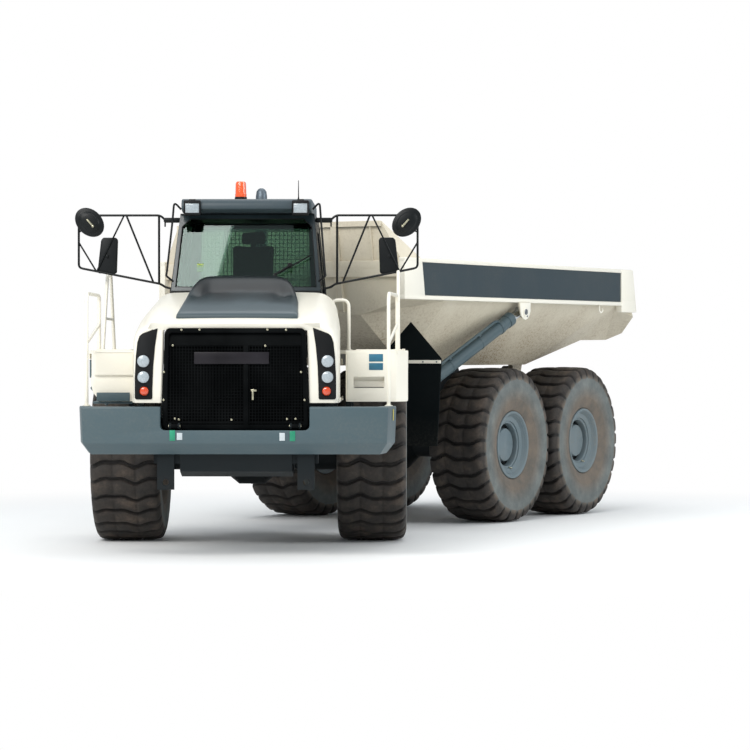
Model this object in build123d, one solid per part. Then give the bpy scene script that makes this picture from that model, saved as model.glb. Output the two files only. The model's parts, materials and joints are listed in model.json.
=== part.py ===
from build123d import *
import math
import os

# Articulated dump truck, in millimetres. Z is up and the truck faces -Y, so its left side is +X.
# While it is built, the origin is on the floor under the middle of the front axle.
# The rear frame is built straight behind its hitch and is then swung to the steering angle it stands at.

# Axles and wheels
AXLE_TO_HITCH = 1328.0
HITCH_TO_MID_AXLE = 3151.0
TRACK = 2647.0
TYRE_RADIUS = 935.0
BOGIE_TYRE_GAP = 64.0
BOGIE_SPACING = 2 * TYRE_RADIUS + BOGIE_TYRE_GAP
TYRE_WIDTH = 750.0
TYRE_BORE = 362.0
LUG_COUNT = 30
TREAD_HALF = 318.0
TREAD_BASE_RADIUS = 900.0
TREAD_GROOVE = 34.0
SHOULDER_RADIUS = 800.0
SIDEWALL_RADIUS = 590.0
BEAD_HALF = 296.0
RIM_FLANGE_RADIUS = 406.0
RIM_HALF = 318.0
HUB_RADIUS = 175.0
SPINDLE_RADIUS = 110.0
AXLE_TUBE_RADIUS = 165.0
DIFF_RADIUS = 320.0
DIFF_HALF = 330.0
DIFF_FLAT = 140.0
DIFF_NOSE = 480.0
DIFF_NOSE_RADIUS = 130.0
HUB_REACH = 130.0

# Fits and clearances
PIN_GAP = 0.3
SEAT_GAP = 0.3
RUN_GAP = 10.0
PANEL_GAP = 8.0

# Steering, with the angle at which the rear frame stands
STEER_AT_REST = 29.6
STEER_LIMIT = 45.0
OSCILLATION_LIMIT = 15.0
HITCH_PIN_RADIUS = 60.0
YOKE_RADIUS = 170.0
OSCILLATION_Z = 1070.0
OSCILLATION_TUBE_RADIUS = 200.0
OSCILLATION_HOUSING_RADIUS = 280.0

# Front chassis
RAIL_INNER = 380.0
RAIL_OUTER = 500.0
RAIL_BOTTOM = 1150.0
RAIL_TOP = 1400.0
RAIL_FRONT = -2700.0
RAIL_REAR = 1050.0
PLATE_THICK = 60.0
HITCH_PLATE_TOP = 1360.0
HITCH_PLATE_BOTTOM = 780.0
HITCH_EYE_RADIUS = 190.0

# Bumper and what hangs below it
BUMPER_FRONT = -3106.0
BUMPER_HALF = 1522.0
BUMPER_REAR_HALF = 1600.0
BUMPER_REAR = -2600.0
BUMPER_DEPTH = 150.0
BUMPER_BOTTOM = 1155.0
BUMPER_TOP = 1520.0
BUMPER_NOTCH_HALF = 740.0
BUMPER_NOTCH_BOTTOM = 1282.0
TOW_LUG_X = 700.0
TOW_LUG_WIDTH = 170.0
TOW_LUG_BOTTOM = 690.0
TOW_BORE_RADIUS = 32.0
GUARD_BOTTOM = 810.0

# Hood, grille and lamps
HOOD_HALF = 1030.0
HOOD_FRONT = -2960.0
HOOD_REAR = -1262.0
HOOD_BOTTOM = 1560.0
HOOD_NOSE_TOP = 2330.0
HOOD_REAR_TOP = 2690.0
HOOD_SHOULDER_DROP = 230.0
HOOD_SHOULDER_IN = 230.0
HOOD_WALL = 12.0
HOOD_FACE = 40.0
HOOD_OPEN = 60.0
HOOD_PIVOT_Y = -3085.0
HOOD_PIVOT_Z = 1330.0
GRILLE_HALF = 730.0
GRILLE_TOP_HALF = 700.0
GRILLE_BOTTOM = 1290.0
GRILLE_TOP = 2300.0
GRILLE_THICK = 40.0
GRILLE_GAP = 2.0
HINGE_X = 600.0
HINGE_PIN_RADIUS = 12.0
LAMP_X = 915.0
SCOOP_FRONT = -2750.0
SCOOP_REAR = -1280.0
SCOOP_HALF = 612.0
SCOOP_REAR_HALF = 480.0
SCOOP_TOP = 2850.0

# Engine
ENGINE_HALF = 330.0
ENGINE_BELOW_HOOD = 130.0
ENGINE_FRONT = RAIL_FRONT + 100.0
ENGINE_REAR = HOOD_REAR - 68.0
ENGINE_BOTTOM = RAIL_BOTTOM + 120.0

# Cab
CAB_HALF = 800.0
CAB_TOP_HALF = 715.0
CAB_FRONT = -1200.0
CAB_TOP_FRONT = -900.0
CAB_REAR = 650.0
CAB_FLOOR = 2000.0
CAB_WAIST = 2700.0
CAB_TOP = 3540.0
CAB_WALL = 45.0
ROOF_TOP = 3695.0
ROOF_VISOR = -1100.0
GLASS_THICK = 8.0
DOOR_FRONT = -700.0
DOOR_REAR = 150.0
DOOR_BOTTOM = 2110.0
DOOR_TOP = 3440.0
DOOR_OPEN = 80.0
DOOR_GAP = 12.0
DOOR_PIN_OUT = 30.0
DOOR_PIN_RADIUS = 8.0
DOOR_KNUCKLE = 14.0
DOOR_HINGES = (2250.0, 2600.0)
DOOR_SILL = 2450.0
WINDOW_BORDER = 90.0

# Inside the cab
SEAT_BASE_TOP = 2390.0
SEAT_TOP = 2530.0
SEAT_BACK_TOP = 3260.0
SEAT_HEAD_TOP = 3400.0
SEAT_FRONT = -390.0
SEAT_REAR = 120.0
SEAT_HALF = 265.0
DASH_REAR = -860.0
DASH_TOP = 2690.0
WHEEL_HEIGHT = 2660.0
WHEEL_Y = -690.0
WHEEL_RADIUS = 215.0

# Fenders and rails
FENDER_INNER = 1080.0
FENDER_OUTER = 1600.0
FENDER_EDGE = 1716.0
FENDER_RIGHT_EDGE = 1560.0
FENDER_FRONT = -2300.0
FENDER_BOTTOM = 1557.0
FENDER_TOP = 2080.0
FENDER_REAR = 450.0
FENDER_DECK = 40.0
FENDER_WALL = 30.0
FENDER_BOX_REAR = -1060.0
FENDER_CHAMFER = 160.0
STEP_INNER = 1163.0
STEP_OUTER = 1475.0
STEP_LOW = 1697.0
STEP_HIGH = 1814.0
STEP_DEPTH = 25.0
HANDRAIL_RADIUS = 19.0
HANDRAIL_TOP = 2655.0
HANDRAIL_FRONT = BUMPER_REAR - 40.0
HANDRAIL_REAR = FENDER_FRONT + 900.0
HANDRAIL_KNEE_FRONT = 2150.0
HANDRAIL_KNEE_REAR = 2350.0
DECK_RAILS = [
    # side, x, y of the front foot, front of the top, rear of the top, rear foot
    (-1, 1530.0, -1050.0, -570.0, -260.0, 120.0),
    (1, 1610.0, -1290.0, -1130.0, -900.0, -560.0),
]
DECK_RAIL_TOP = 2915.0
DECK_RAIL_KNEE = 2420.0
HOOP_Y = -1000.0
HOOP_INNER = 900.0
HOOP_OUTER = 1085.0
HOOP_TOP = 2615.0

# Roof and mirrors
MIRROR_Y = -780.0
MIRROR_FOOT_X = 886.0
MIRROR_REACH = 1817.0
MIRROR_TOP = 3527.0
MIRROR_BOTTOM = 2958.0
MIRROR_TUBE = 14.0
MIRROR_STAY_TUBE = 10.0
MIRROR_PAD = 30.0
ROUND_MIRROR_X = 1699.0
ROUND_MIRROR_Z = 3451.0
ROUND_MIRROR_RADIUS = 157.0
FLAT_MIRROR = [
    # x, z
    (1407.0, 2899.0),
    (1620.0, 2899.0),
    (1575.0, 3293.0),
    (1397.0, 3293.0),
]
FLAT_MIRROR_THICK = 60.0
WORK_LIGHT_X = 575.0
WORK_LIGHT_HALF = 80.0
WORK_LIGHT_LOW = 3555.0
WORK_LIGHT_HIGH = 3655.0
BEACON_X = -100.0
BEACON_Y = -400.0
BEACON_RADIUS = 65.0
BEACON_TOP = 3915.0
AERIAL_X = 530.0
AERIAL_Y = -500.0
AERIAL_TOP = 3920.0
STACK_X = 60.0
STACK_Y = 810.0
STACK_RADIUS = 60.0
STACK_TOP = 3908.0
MUFFLER_LOW = 1500.0
MUFFLER_HIGH = 2250.0

# Rear frame, measured from the hitch: u across, v backwards
REAR_RAIL_INNER = 360.0
REAR_RAIL_OUTER = 480.0
REAR_RAIL_BOTTOM = 1360.0
REAR_RAIL_TOP = 1800.0
REAR_RAIL_FRONT = 860.0
REAR_RAIL_REAR = 5480.0
HOUSING_FRONT = 420.0
BEAM_INNER = 600.0
BEAM_OUTER = 760.0
BEAM_BOTTOM = 1120.0
BEAM_TOP = 1300.0
BEAM_PIVOT_Z = 1210.0
BEAM_PIVOT_RADIUS = 70.0
FLAP_V = 980.0
FLAP_THICK = 12.0
FLAP_INNER = 750.0
FLAP_OUTER = 1850.0
FLAP_TAPER = 56.0
FLAP_APEX = 1447.0
FLAP_TOP = 2406.0
FLAP_BOTTOM = 985.0
FLAP_BAR_TOP = 1970.0

# Dump body: stations along v of the floor line
TUB_FRONT = 600.0
TUB_FLOOR_START = 1550.0
TUB_FLOOR_END = 4700.0
TUB_TAIL_KNEE = 6090.0
TUB_TAIL = 6850.0
TUB_TAIL_POINT = 6930.0
FLOOR_HALF = 1000.0
TAIL_HALF = 1100.0
FLOOR_Z = 1900.0
TAIL_Z = 2214.0
FRONT_FLOOR_Z = 2484.0
RAIL_LINE_Z = 2660.0
BODY_HALF = 1684.0
BODY_RAIL_WIDTH = 84.0
SIDE_TOP_HALF = BODY_HALF - BODY_RAIL_WIDTH
RAIL_WEB_IN = 20.0
RAIL_FLANGE = 50.0
BODY_RAIL_TOP = 3135.0
BODY_RAIL_FRONT = 430.0
BODY_RAIL_REAR = 6460.0
STRIPE_FRONT = 850.0
STRIPE_REAR = 6120.0
STRIPE_THICK = 6.0
HEADBOARD_TOP = 3550.0
HEADBOARD_TOP_HALF = 1384.0
HEADBOARD_LEAN = 0.169
HEADBOARD_BAND = (2919.0, 3108.0)
HEADBOARD_RIB_U = 770.0
POST_BOTTOM = 2576.0
TUB_WALL = 16.0
FLOOR_THICK = 20.0
TIP_PIVOT_V = 5350.0
TIP_PIVOT_Z = 1770.0
TIP_ANGLE = 65.0
TIP_PIN_RADIUS = 50.0

# Hoist rams: foot on the chassis and head on the body, as u, v, z of the left one
HOIST_FOOT = (1103.0, 1100.0, 1356.0)
HOIST_HEAD_U = BODY_HALF - 69.0
HOIST_HEAD = (HOIST_HEAD_U, 3354.0, RAIL_LINE_Z - 112.0)
HOIST_BARREL_RADIUS = 80.0
HOIST_ROD_RADIUS = 50.0
HOIST_EYE_RADIUS = 65.0
HOIST_EYE_WIDTH = 56.0
HOIST_BALL_RADIUS = 45.0
HOIST_HEAD_CLEAR = 180.0
HOIST_PLATE_IN = 84.0
HOIST_PLATE_OUT = 62.0

# Steering rams: foot on the front frame, and the ear on the yoke
STEER_FOOT = (680.0, 280.0)
STEER_EAR = 400.0
STEER_Z = 1000.0
STEER_BARREL_RADIUS = 55.0
STEER_ROD_RADIUS = 32.0
STEER_EYE_RADIUS = 60.0
STEER_EYE_WIDTH = 50.0
STEER_PIN_RADIUS = 28.0
STEER_HEAD_CLEAR = 80.0
STEER_SLACK = 50.0
STEER_ROOM = 85.0


def block(x0, x1, y0, y1, z0, z1):
    """A box between two corners."""
    middle = ((x0 + x1) / 2, (y0 + y1) / 2, (z0 + z1) / 2)
    return Pos(*middle) * Box(abs(x1 - x0), abs(y1 - y0), abs(z1 - z0))


def bar(start, end, radius):
    """A round bar from one point to another."""
    a = Vector(*start)
    b = Vector(*end)
    return Solid.make_cylinder(radius, (b - a).length, Plane(origin=a, z_dir=b - a))


def tube_run(points, radius, bend):
    """A bent tube through the points, with each corner rounded."""
    path = FilletPolyline(*points, radius=bend)
    return sweep(Plane(origin=path @ 0, z_dir=path % 0) * Circle(radius), path=path)


def side_plate(outline, x0, x1):
    """A plate across X whose outline is given as y, z."""
    return extrude(Plane.YZ.offset(x0) * Polygon(*outline, align=None), x1 - x0)


def front_plate(outline, y0, y1):
    """A plate across Y whose outline is given as x, z."""
    return extrude(Plane.XZ.offset(-y1) * Polygon(*outline, align=None), y1 - y0)


def deck_plate(outline, z0, z1):
    """A level plate whose outline is given as x, y."""
    return extrude(Plane.XY.offset(z0) * Polygon(*outline, align=None), z1 - z0)


def facet(corners, push):
    """A flat piece of sheet: the corners, thickened along one vector."""
    face = Face(Wire.make_polygon([Vector(*c) for c in corners], close=True))
    return Solid.extrude(face, Vector(*push))


def mirrored(shape):
    """The same shape on the other side of the truck."""
    return mirror(shape, about=Plane.YZ)


def both(shape):
    """A shape and its twin on the other side."""
    return shape + mirrored(shape)


def joined(shapes):
    """All shapes fused."""
    whole = shapes[0]
    for shape in shapes[1:]:
        whole = whole + shape
    return whole


def facet_wire(x, radius, sides):
    """A many-sided ring about X with one flat down; the radius is that of its flats."""
    step = 2 * math.pi / sides
    corners = []
    for turn in range(sides):
        angle = (turn + 0.5) * step - math.pi / 2
        reach = radius / math.cos(step / 2)
        corners.append(Vector(x, reach * math.cos(angle), reach * math.sin(angle)))
    return Wire.make_polygon(corners, close=True)


def faceted_ring(rows, bore, sides):
    """A ring of flat facets about X from rows of x, radius, with a faceted bore through it."""
    body = Solid.make_loft([facet_wire(x, radius, sides) for x, radius in rows], ruled=True)
    face = Face(facet_wire(rows[0][0] - 1, bore, sides))
    core = Solid.extrude(face, Vector(rows[-1][0] - rows[0][0] + 2, 0, 0))
    return body - core


def lathe_x(section):
    """A turned piece about X from a closed outline of x, radius."""
    return revolve(Plane.XY * Polygon(*section, align=None), axis=Axis.X)


# Wheels
def tyre():
    """One tyre about X with its outer side towards +X and a row of lugs across its tread."""
    half = TYRE_WIDTH / 2
    bead = RIM_FLANGE_RADIUS + 6
    rows = [
        # x, radius of the flats
        (-BEAD_HALF, bead),
        (-half + 12, SIDEWALL_RADIUS),
        (-half, SHOULDER_RADIUS),
        (-TREAD_HALF, TREAD_BASE_RADIUS),
        (TREAD_HALF, TREAD_BASE_RADIUS),
        (half, SHOULDER_RADIUS),
        (half - 12, SIDEWALL_RADIUS),
        (BEAD_HALF, bead),
    ]
    carcass = faceted_ring(rows, TYRE_BORE + SEAT_GAP, LUG_COUNT)
    pitch = 2 * TREAD_BASE_RADIUS * math.tan(math.pi / LUG_COUNT)
    reach = (pitch - TREAD_GROOVE) / 2
    lug = block(-TREAD_HALF, TREAD_HALF, -reach, reach, -TYRE_RADIUS, -TREAD_BASE_RADIUS + 20)
    lugs = [Rot(turn * 360 / LUG_COUNT, 0, 0) * lug for turn in range(LUG_COUNT)]
    return carcass.fuse(*[s for piece in lugs for s in piece.solids()])


def rim():
    """One rim about X with its dish towards +X; the hub turns on the spindle."""
    seat = TYRE_BORE
    bore = SPINDLE_RADIUS + PIN_GAP
    end = HUB_REACH - RUN_GAP
    section = [
        (-RIM_HALF, seat - 20),
        (-RIM_HALF, RIM_FLANGE_RADIUS),
        (-RIM_HALF + 18, RIM_FLANGE_RADIUS),
        (-RIM_HALF + 20, seat),
        (RIM_HALF - 20, seat),
        (RIM_HALF - 18, RIM_FLANGE_RADIUS),
        (RIM_HALF, RIM_FLANGE_RADIUS),
        (RIM_HALF, RIM_FLANGE_RADIUS - 28),
        (262, 342),
        (250, 290),
        (HUB_REACH, 262),
        (HUB_REACH - 12, HUB_RADIUS + 5),
        (HUB_REACH + 20, HUB_RADIUS - 5),
        (HUB_REACH + 32, 120),
        (HUB_REACH + 32, 0),
        (end, 0),
        (end, bore),
        (-end, bore),
        (-end, HUB_RADIUS + 15),
        (60, HUB_RADIUS + 25),
        (60, 300),
        (0, seat - 20),
    ]
    return lathe_x(section)


def axle(diff_side):
    """A drive axle about X with its spindles and the bulge of its differential."""
    face = TRACK / 2 - HUB_REACH
    tube = bar((-face, 0, 0), (face, 0, 0), AXLE_TUBE_RADIUS)
    spindle_end = TRACK / 2 + HUB_REACH - 2 * RUN_GAP
    spindle = bar((-spindle_end, 0, 0), (spindle_end, 0, 0), SPINDLE_RADIUS)
    bulge = lathe_x(
        [
            (-DIFF_HALF, 0),
            (-DIFF_HALF, AXLE_TUBE_RADIUS),
            (-DIFF_FLAT, DIFF_RADIUS),
            (DIFF_FLAT, DIFF_RADIUS),
            (DIFF_HALF, AXLE_TUBE_RADIUS),
            (DIFF_HALF, 0),
        ]
    )
    nose = bar((0, 0, 0), (0, diff_side * DIFF_NOSE, 40), DIFF_NOSE_RADIUS)
    return tube + spindle + bulge + nose


# Rams
def ram(base, tip, pin, sizes, closed_by, ball=0.0):
    """The barrel and the rod of a ram between two points; pin is the direction of its foot pin."""
    barrel_r, rod_r, eye_r, eye_w, pin_r, head_clear = sizes
    a = Vector(*base)
    b = Vector(*tip)
    length = (b - a).length
    along = (b - a).normalized()
    pin = Vector(*pin).normalized()
    start = barrel_r + 20
    mouth = length - closed_by - head_clear
    foot = bar(a - pin * (eye_w / 2), a + pin * (eye_w / 2), eye_r)
    neck = block(-eye_w / 2, eye_w / 2, -eye_r * 0.7, eye_r * 0.7, 0, start + 5)
    neck = Plane(origin=a, x_dir=pin, z_dir=along) * neck
    shell = bar(a + along * start, a + along * mouth, barrel_r)
    collar = bar(a + along * (mouth - 90), a + along * mouth, barrel_r + 6)
    bore = bar(a + along * (start + RUN_GAP), a + along * (mouth + 1), rod_r + PIN_GAP)
    if ball:
        foot_bore = Plane(origin=a, z_dir=pin) * Sphere(ball + PIN_GAP)
    else:
        foot_bore = bar(a - pin * eye_w, a + pin * eye_w, pin_r + PIN_GAP)
    barrel = (foot + neck - foot_bore) + (shell + collar - bore)
    inner = start + 2 * RUN_GAP + closed_by
    rod = bar(a + along * inner, b - along * (eye_r * 0.5), rod_r)
    rod = rod + bar(b - pin * (eye_w / 2), b + pin * (eye_w / 2), eye_r)
    return barrel, rod


# Steering geometry
def swung(u, v):
    """Where a point of the straight rear frame lies, as x, y, at the steering angle of rest."""
    t = math.radians(STEER_AT_REST)
    x = u * math.cos(t) + v * math.sin(t)
    y = AXLE_TO_HITCH - u * math.sin(t) + v * math.cos(t)
    return x, y


def steer_length(side, angle):
    """The length of a steering ram, and its lean towards the middle in degrees."""
    t = math.radians(angle)
    ear_x = side * STEER_EAR * math.cos(t)
    ear_y = AXLE_TO_HITCH - side * STEER_EAR * math.sin(t)
    dx = side * (side * STEER_FOOT[0] - ear_x)
    dy = ear_y - STEER_FOOT[1]
    return math.hypot(dx, dy), math.degrees(math.atan2(dx, dy))


# Front frame pieces
def front_chassis():
    rail = block(RAIL_INNER, RAIL_OUTER, RAIL_FRONT, RAIL_REAR, RAIL_BOTTOM, RAIL_TOP)
    box_front = RAIL_REAR - 250
    rear_box = block(-340, 340, box_front, RAIL_REAR, HITCH_PLATE_BOTTOM, RAIL_TOP)
    # Room for the steering rams and the ears of the yoke, at full lock
    band_low = STEER_Z - STEER_ROOM
    band_high = STEER_Z + STEER_ROOM
    rear_box = rear_box - block(-341, 341, RAIL_REAR - 110, RAIL_REAR + 1, band_low, band_high)
    rear_box = rear_box - both(block(240, 341, box_front - 1, RAIL_REAR + 1, band_low, band_high))
    tie = block(-RAIL_INNER, RAIL_INNER, box_front, RAIL_REAR, RAIL_BOTTOM, RAIL_TOP)
    pieces = [rail, mirrored(rail), rear_box, tie]
    for y in (RAIL_FRONT + 60, -1500.0):
        pieces.append(block(-RAIL_INNER, RAIL_INNER, y - 60, y + 60, RAIL_BOTTOM, RAIL_BOTTOM + 120))
    outline = [
        (-340, RAIL_REAR - 10),
        (340, RAIL_REAR - 10),
        (HITCH_EYE_RADIUS, AXLE_TO_HITCH),
        (-HITCH_EYE_RADIUS, AXLE_TO_HITCH),
    ]
    for z in (HITCH_PLATE_BOTTOM, HITCH_PLATE_TOP - PLATE_THICK):
        pieces.append(deck_plate(outline, z, z + PLATE_THICK))
        pieces.append(bar((0, AXLE_TO_HITCH, z), (0, AXLE_TO_HITCH, z + PLATE_THICK), HITCH_EYE_RADIUS))
    pin_low = HITCH_PLATE_BOTTOM - 30
    pin_high = HITCH_PLATE_TOP + 30
    pieces.append(bar((0, AXLE_TO_HITCH, pin_low), (0, AXLE_TO_HITCH, pin_high), HITCH_PIN_RADIUS))
    # Brackets that carry the feet of the steering rams, each with its pin
    x, y = STEER_FOOT
    gap = STEER_EYE_WIDTH / 2 + PIN_GAP
    near = y - 60
    far = y + 28
    upper = block(RAIL_OUTER - 20, x + 60, near, far, STEER_Z + gap, STEER_Z + gap + 30)
    web = block(RAIL_OUTER - 20, RAIL_OUTER + 60, near, far, STEER_Z + gap, RAIL_BOTTOM + 40)
    web = web + block(RAIL_OUTER - 20, x + 60, near, far, STEER_Z - gap - 30, STEER_Z - gap)
    web = web + block(RAIL_OUTER - 20, RAIL_OUTER + 60, near, far, STEER_Z - gap - 30, STEER_Z + gap + 5)
    pin = bar((x, y, STEER_Z - gap - 12), (x, y, STEER_Z + gap + 45), STEER_PIN_RADIUS)
    pieces.append(both(upper + web + pin))
    # Cab feet
    for y in (-1000.0, 500.0):
        pieces.append(both(block(RAIL_INNER, RAIL_OUTER, y - 70, y + 70, RAIL_TOP, CAB_FLOOR)))
    # Front bulkhead that the bumper and the hood hinges hang on
    pieces.append(block(-900, 900, RAIL_FRONT - 90, RAIL_FRONT, RAIL_BOTTOM - 60, RAIL_TOP))
    for y in (-2150.0, -1150.0):
        pieces.append(both(block(RAIL_OUTER - 5, FENDER_INNER + 60, y - 50, y + 50, 1290, 1390)))
    for y in (-2150.0, -1150.0):
        pieces.append(both(block(FENDER_INNER, FENDER_INNER + 60, y - 50, y + 50, 1290, FENDER_BOTTOM)))
    return joined(pieces)


def hood_hinges():
    """Ears on the bulkhead that hold the hood's two hinge pins."""
    ears = []
    for x in (-HINGE_X, HINGE_X):
        for middle in (x - 45, x + 45):
            ear = side_plate(
                [
                    (RAIL_FRONT - 80, HOOD_PIVOT_Z - 40),
                    (RAIL_FRONT - 80, HOOD_PIVOT_Z + 40),
                    (HOOD_PIVOT_Y, HOOD_PIVOT_Z + 26),
                    (HOOD_PIVOT_Y - 22, HOOD_PIVOT_Z),
                    (HOOD_PIVOT_Y, HOOD_PIVOT_Z - 26),
                ],
                middle - 10,
                middle + 10,
            )
            ears.append(ear)
        near = (x - 55, HOOD_PIVOT_Y, HOOD_PIVOT_Z)
        far = (x + 55, HOOD_PIVOT_Y, HOOD_PIVOT_Z)
        ears.append(bar(near, far, HINGE_PIN_RADIUS))
    return joined(ears)


def front_bumper():
    """A deep beam with swept ends and a notch for the grille."""
    outer = [
        (-BUMPER_HALF, BUMPER_FRONT),
        (BUMPER_HALF, BUMPER_FRONT),
        (BUMPER_REAR_HALF, BUMPER_REAR),
        (BUMPER_REAR_HALF - 110, BUMPER_REAR),
        (BUMPER_HALF - 110, BUMPER_FRONT + BUMPER_DEPTH),
        (-BUMPER_HALF + 110, BUMPER_FRONT + BUMPER_DEPTH),
        (-BUMPER_REAR_HALF + 110, BUMPER_REAR),
        (-BUMPER_REAR_HALF, BUMPER_REAR),
    ]
    beam = deck_plate(outer, BUMPER_BOTTOM, BUMPER_TOP)
    lip = deck_plate(
        [
            (-BUMPER_HALF + 80, BUMPER_FRONT + 110),
            (BUMPER_HALF - 80, BUMPER_FRONT + 110),
            (BUMPER_HALF - 80, BUMPER_FRONT + BUMPER_DEPTH),
            (-BUMPER_HALF + 80, BUMPER_FRONT + BUMPER_DEPTH),
        ],
        BUMPER_BOTTOM - 110,
        BUMPER_BOTTOM + 5,
    )
    notch = block(
        -BUMPER_NOTCH_HALF,
        BUMPER_NOTCH_HALF,
        BUMPER_FRONT - 1,
        BUMPER_FRONT + BUMPER_DEPTH + 1,
        BUMPER_NOTCH_BOTTOM,
        BUMPER_TOP + 1,
    )
    arm_front = BUMPER_FRONT + BUMPER_DEPTH - 5
    arm = block(780, 900, arm_front, RAIL_FRONT - 90, BUMPER_BOTTOM, BUMPER_BOTTOM + 120)
    return beam + lip - notch + both(arm)


def belly_guard():
    """The plate under the nose, with two tow lugs."""
    outline = [
        (BUMPER_FRONT + 170, RAIL_BOTTOM - 70),
        (BUMPER_FRONT + 220, GUARD_BOTTOM + 60),
        (RAIL_FRONT + 50, GUARD_BOTTOM),
        (RAIL_FRONT + 650, GUARD_BOTTOM + 130),
        (RAIL_FRONT + 650, GUARD_BOTTOM + 150),
        (RAIL_FRONT + 50, GUARD_BOTTOM + 20),
        (BUMPER_FRONT + 236, GUARD_BOTTOM + 75),
        (BUMPER_FRONT + 190, RAIL_BOTTOM - 70),
    ]
    guard = side_plate(outline, -560, 560)
    cheek = side_plate(
        [
            (BUMPER_FRONT + 190, RAIL_BOTTOM - 70),
            (BUMPER_FRONT + 236, GUARD_BOTTOM + 75),
            (RAIL_FRONT + 50, GUARD_BOTTOM + 20),
            (RAIL_FRONT + 300, GUARD_BOTTOM + 76),
            (RAIL_FRONT + 300, RAIL_BOTTOM),
            (RAIL_FRONT, RAIL_BOTTOM),
            (RAIL_FRONT, RAIL_BOTTOM - 61),
            (RAIL_FRONT - 40, RAIL_BOTTOM - 61),
        ],
        400,
        420,
    )
    beam = block(-820, 820, RAIL_FRONT - 200, RAIL_FRONT - 60, RAIL_BOTTOM - 200, RAIL_BOTTOM - 60)
    half = TOW_LUG_WIDTH / 2
    lug = block(
        TOW_LUG_X - half,
        TOW_LUG_X + half,
        RAIL_FRONT - 240,
        RAIL_FRONT - 200,
        TOW_LUG_BOTTOM,
        RAIL_BOTTOM - 60,
    )
    stiff = block(TOW_LUG_X - 12, TOW_LUG_X + 12, RAIL_FRONT - 200, RAIL_FRONT - 60, 830, RAIL_BOTTOM - 190)
    bore_z = TOW_LUG_BOTTOM + 75
    bore = bar(
        (TOW_LUG_X, RAIL_FRONT - 250, bore_z),
        (TOW_LUG_X, RAIL_FRONT - 190, bore_z),
        TOW_BORE_RADIUS,
    )
    return guard + both(cheek) + beam + both(lug + stiff - bore)


def front_axle():
    shape = Pos(0, 0, TYRE_RADIUS) * axle(-1)
    strut = bar((560, -60, TYRE_RADIUS + 120), (600, -60, RAIL_BOTTOM + 190), 62)
    strut = strut + block(RAIL_OUTER, 680, -130, 10, RAIL_BOTTOM + 180, RAIL_TOP - 5)
    link = bar((300, 0, TYRE_RADIUS - 60), (440, -1400, RAIL_BOTTOM - 60), 55)
    link = link + block(400, 480, -1460, -1340, RAIL_BOTTOM - 110, RAIL_BOTTOM)
    return shape + both(strut + link)


def engine_block():
    """One plain block at the engine's real place and size."""
    top = HOOD_NOSE_TOP - ENGINE_BELOW_HOOD
    return block(-ENGINE_HALF, ENGINE_HALF, ENGINE_FRONT, ENGINE_REAR, ENGINE_BOTTOM, top)


def cab_outer(shrink):
    """The cab's outside, or its inside when shrunk by the wall."""
    half = CAB_HALF - shrink
    top_half = CAB_TOP_HALF - shrink
    front = CAB_FRONT + shrink
    top_front = CAB_TOP_FRONT + shrink
    rear = CAB_REAR - shrink
    floor = CAB_FLOOR + shrink
    top = CAB_TOP - shrink
    lower = block(-half, half, front, rear, floor, CAB_WAIST)
    low_ring = Wire.make_polygon(
        [
            Vector(-half, front, CAB_WAIST),
            Vector(half, front, CAB_WAIST),
            Vector(half, rear, CAB_WAIST),
            Vector(-half, rear, CAB_WAIST),
        ],
        close=True,
    )
    high_ring = Wire.make_polygon(
        [
            Vector(-top_half, top_front, top),
            Vector(top_half, top_front, top),
            Vector(top_half, rear - 50, top),
            Vector(-top_half, rear - 50, top),
        ],
        close=True,
    )
    upper = Solid.make_loft([low_ring, high_ring], ruled=True)
    return lower + upper


WINDSCREEN = [(-740, 2745), (740, 2745), (690, 3400), (610, 3485), (-610, 3485), (-690, 3400)]
REAR_WINDOW = [(-640, DOOR_SILL), (640, DOOR_SILL), (600, DOOR_TOP), (-600, DOOR_TOP)]
SIDE_WINDOWS = [
    # front bottom, rear bottom, rear top, front top, each as y, z
    [(-1040, 2760), (-790, 2760), (-790, DOOR_TOP), (-830, DOOR_TOP)],
    [(230, DOOR_SILL), (560, DOOR_SILL), (520, DOOR_TOP), (230, DOOR_TOP)],
]
DOOR_WINDOW = [
    (DOOR_FRONT + WINDOW_BORDER, DOOR_SILL),
    (DOOR_REAR - WINDOW_BORDER, DOOR_SILL),
    (DOOR_REAR - WINDOW_BORDER, DOOR_TOP - WINDOW_BORDER + 10),
    (DOOR_FRONT + WINDOW_BORDER, DOOR_TOP - WINDOW_BORDER + 10),
]


def cab_cutters():
    """The prisms that cut each window, as a list."""
    cutters = [
        front_plate(WINDSCREEN, CAB_FRONT - 60, CAB_TOP_FRONT + 160),
        front_plate(REAR_WINDOW, CAB_REAR - 160, CAB_REAR + 20),
    ]
    for outline in SIDE_WINDOWS:
        cutters.append(side_plate(outline, CAB_TOP_HALF - 120, CAB_HALF + 20))
        cutters.append(side_plate(outline, -CAB_HALF - 20, -CAB_TOP_HALF + 120))
    cutters.append(side_plate(DOOR_WINDOW, -CAB_HALF - 20, -CAB_TOP_HALF + 120))
    return cutters


def door_cutter(grow):
    return side_plate(
        [
            (DOOR_FRONT - grow, DOOR_BOTTOM - grow),
            (DOOR_REAR + grow, DOOR_BOTTOM - grow),
            (DOOR_REAR + grow, DOOR_TOP + grow),
            (DOOR_FRONT - grow, DOOR_TOP + grow),
        ],
        CAB_TOP_HALF - 120,
        CAB_HALF + 20,
    )


def door_pin():
    """Where the door's hinge line stands, as x, y."""
    return CAB_HALF + DOOR_PIN_OUT, DOOR_REAR + DOOR_GAP / 2


def cab_wall_solid():
    return cab_outer(0) - cab_outer(CAB_WALL)


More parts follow.
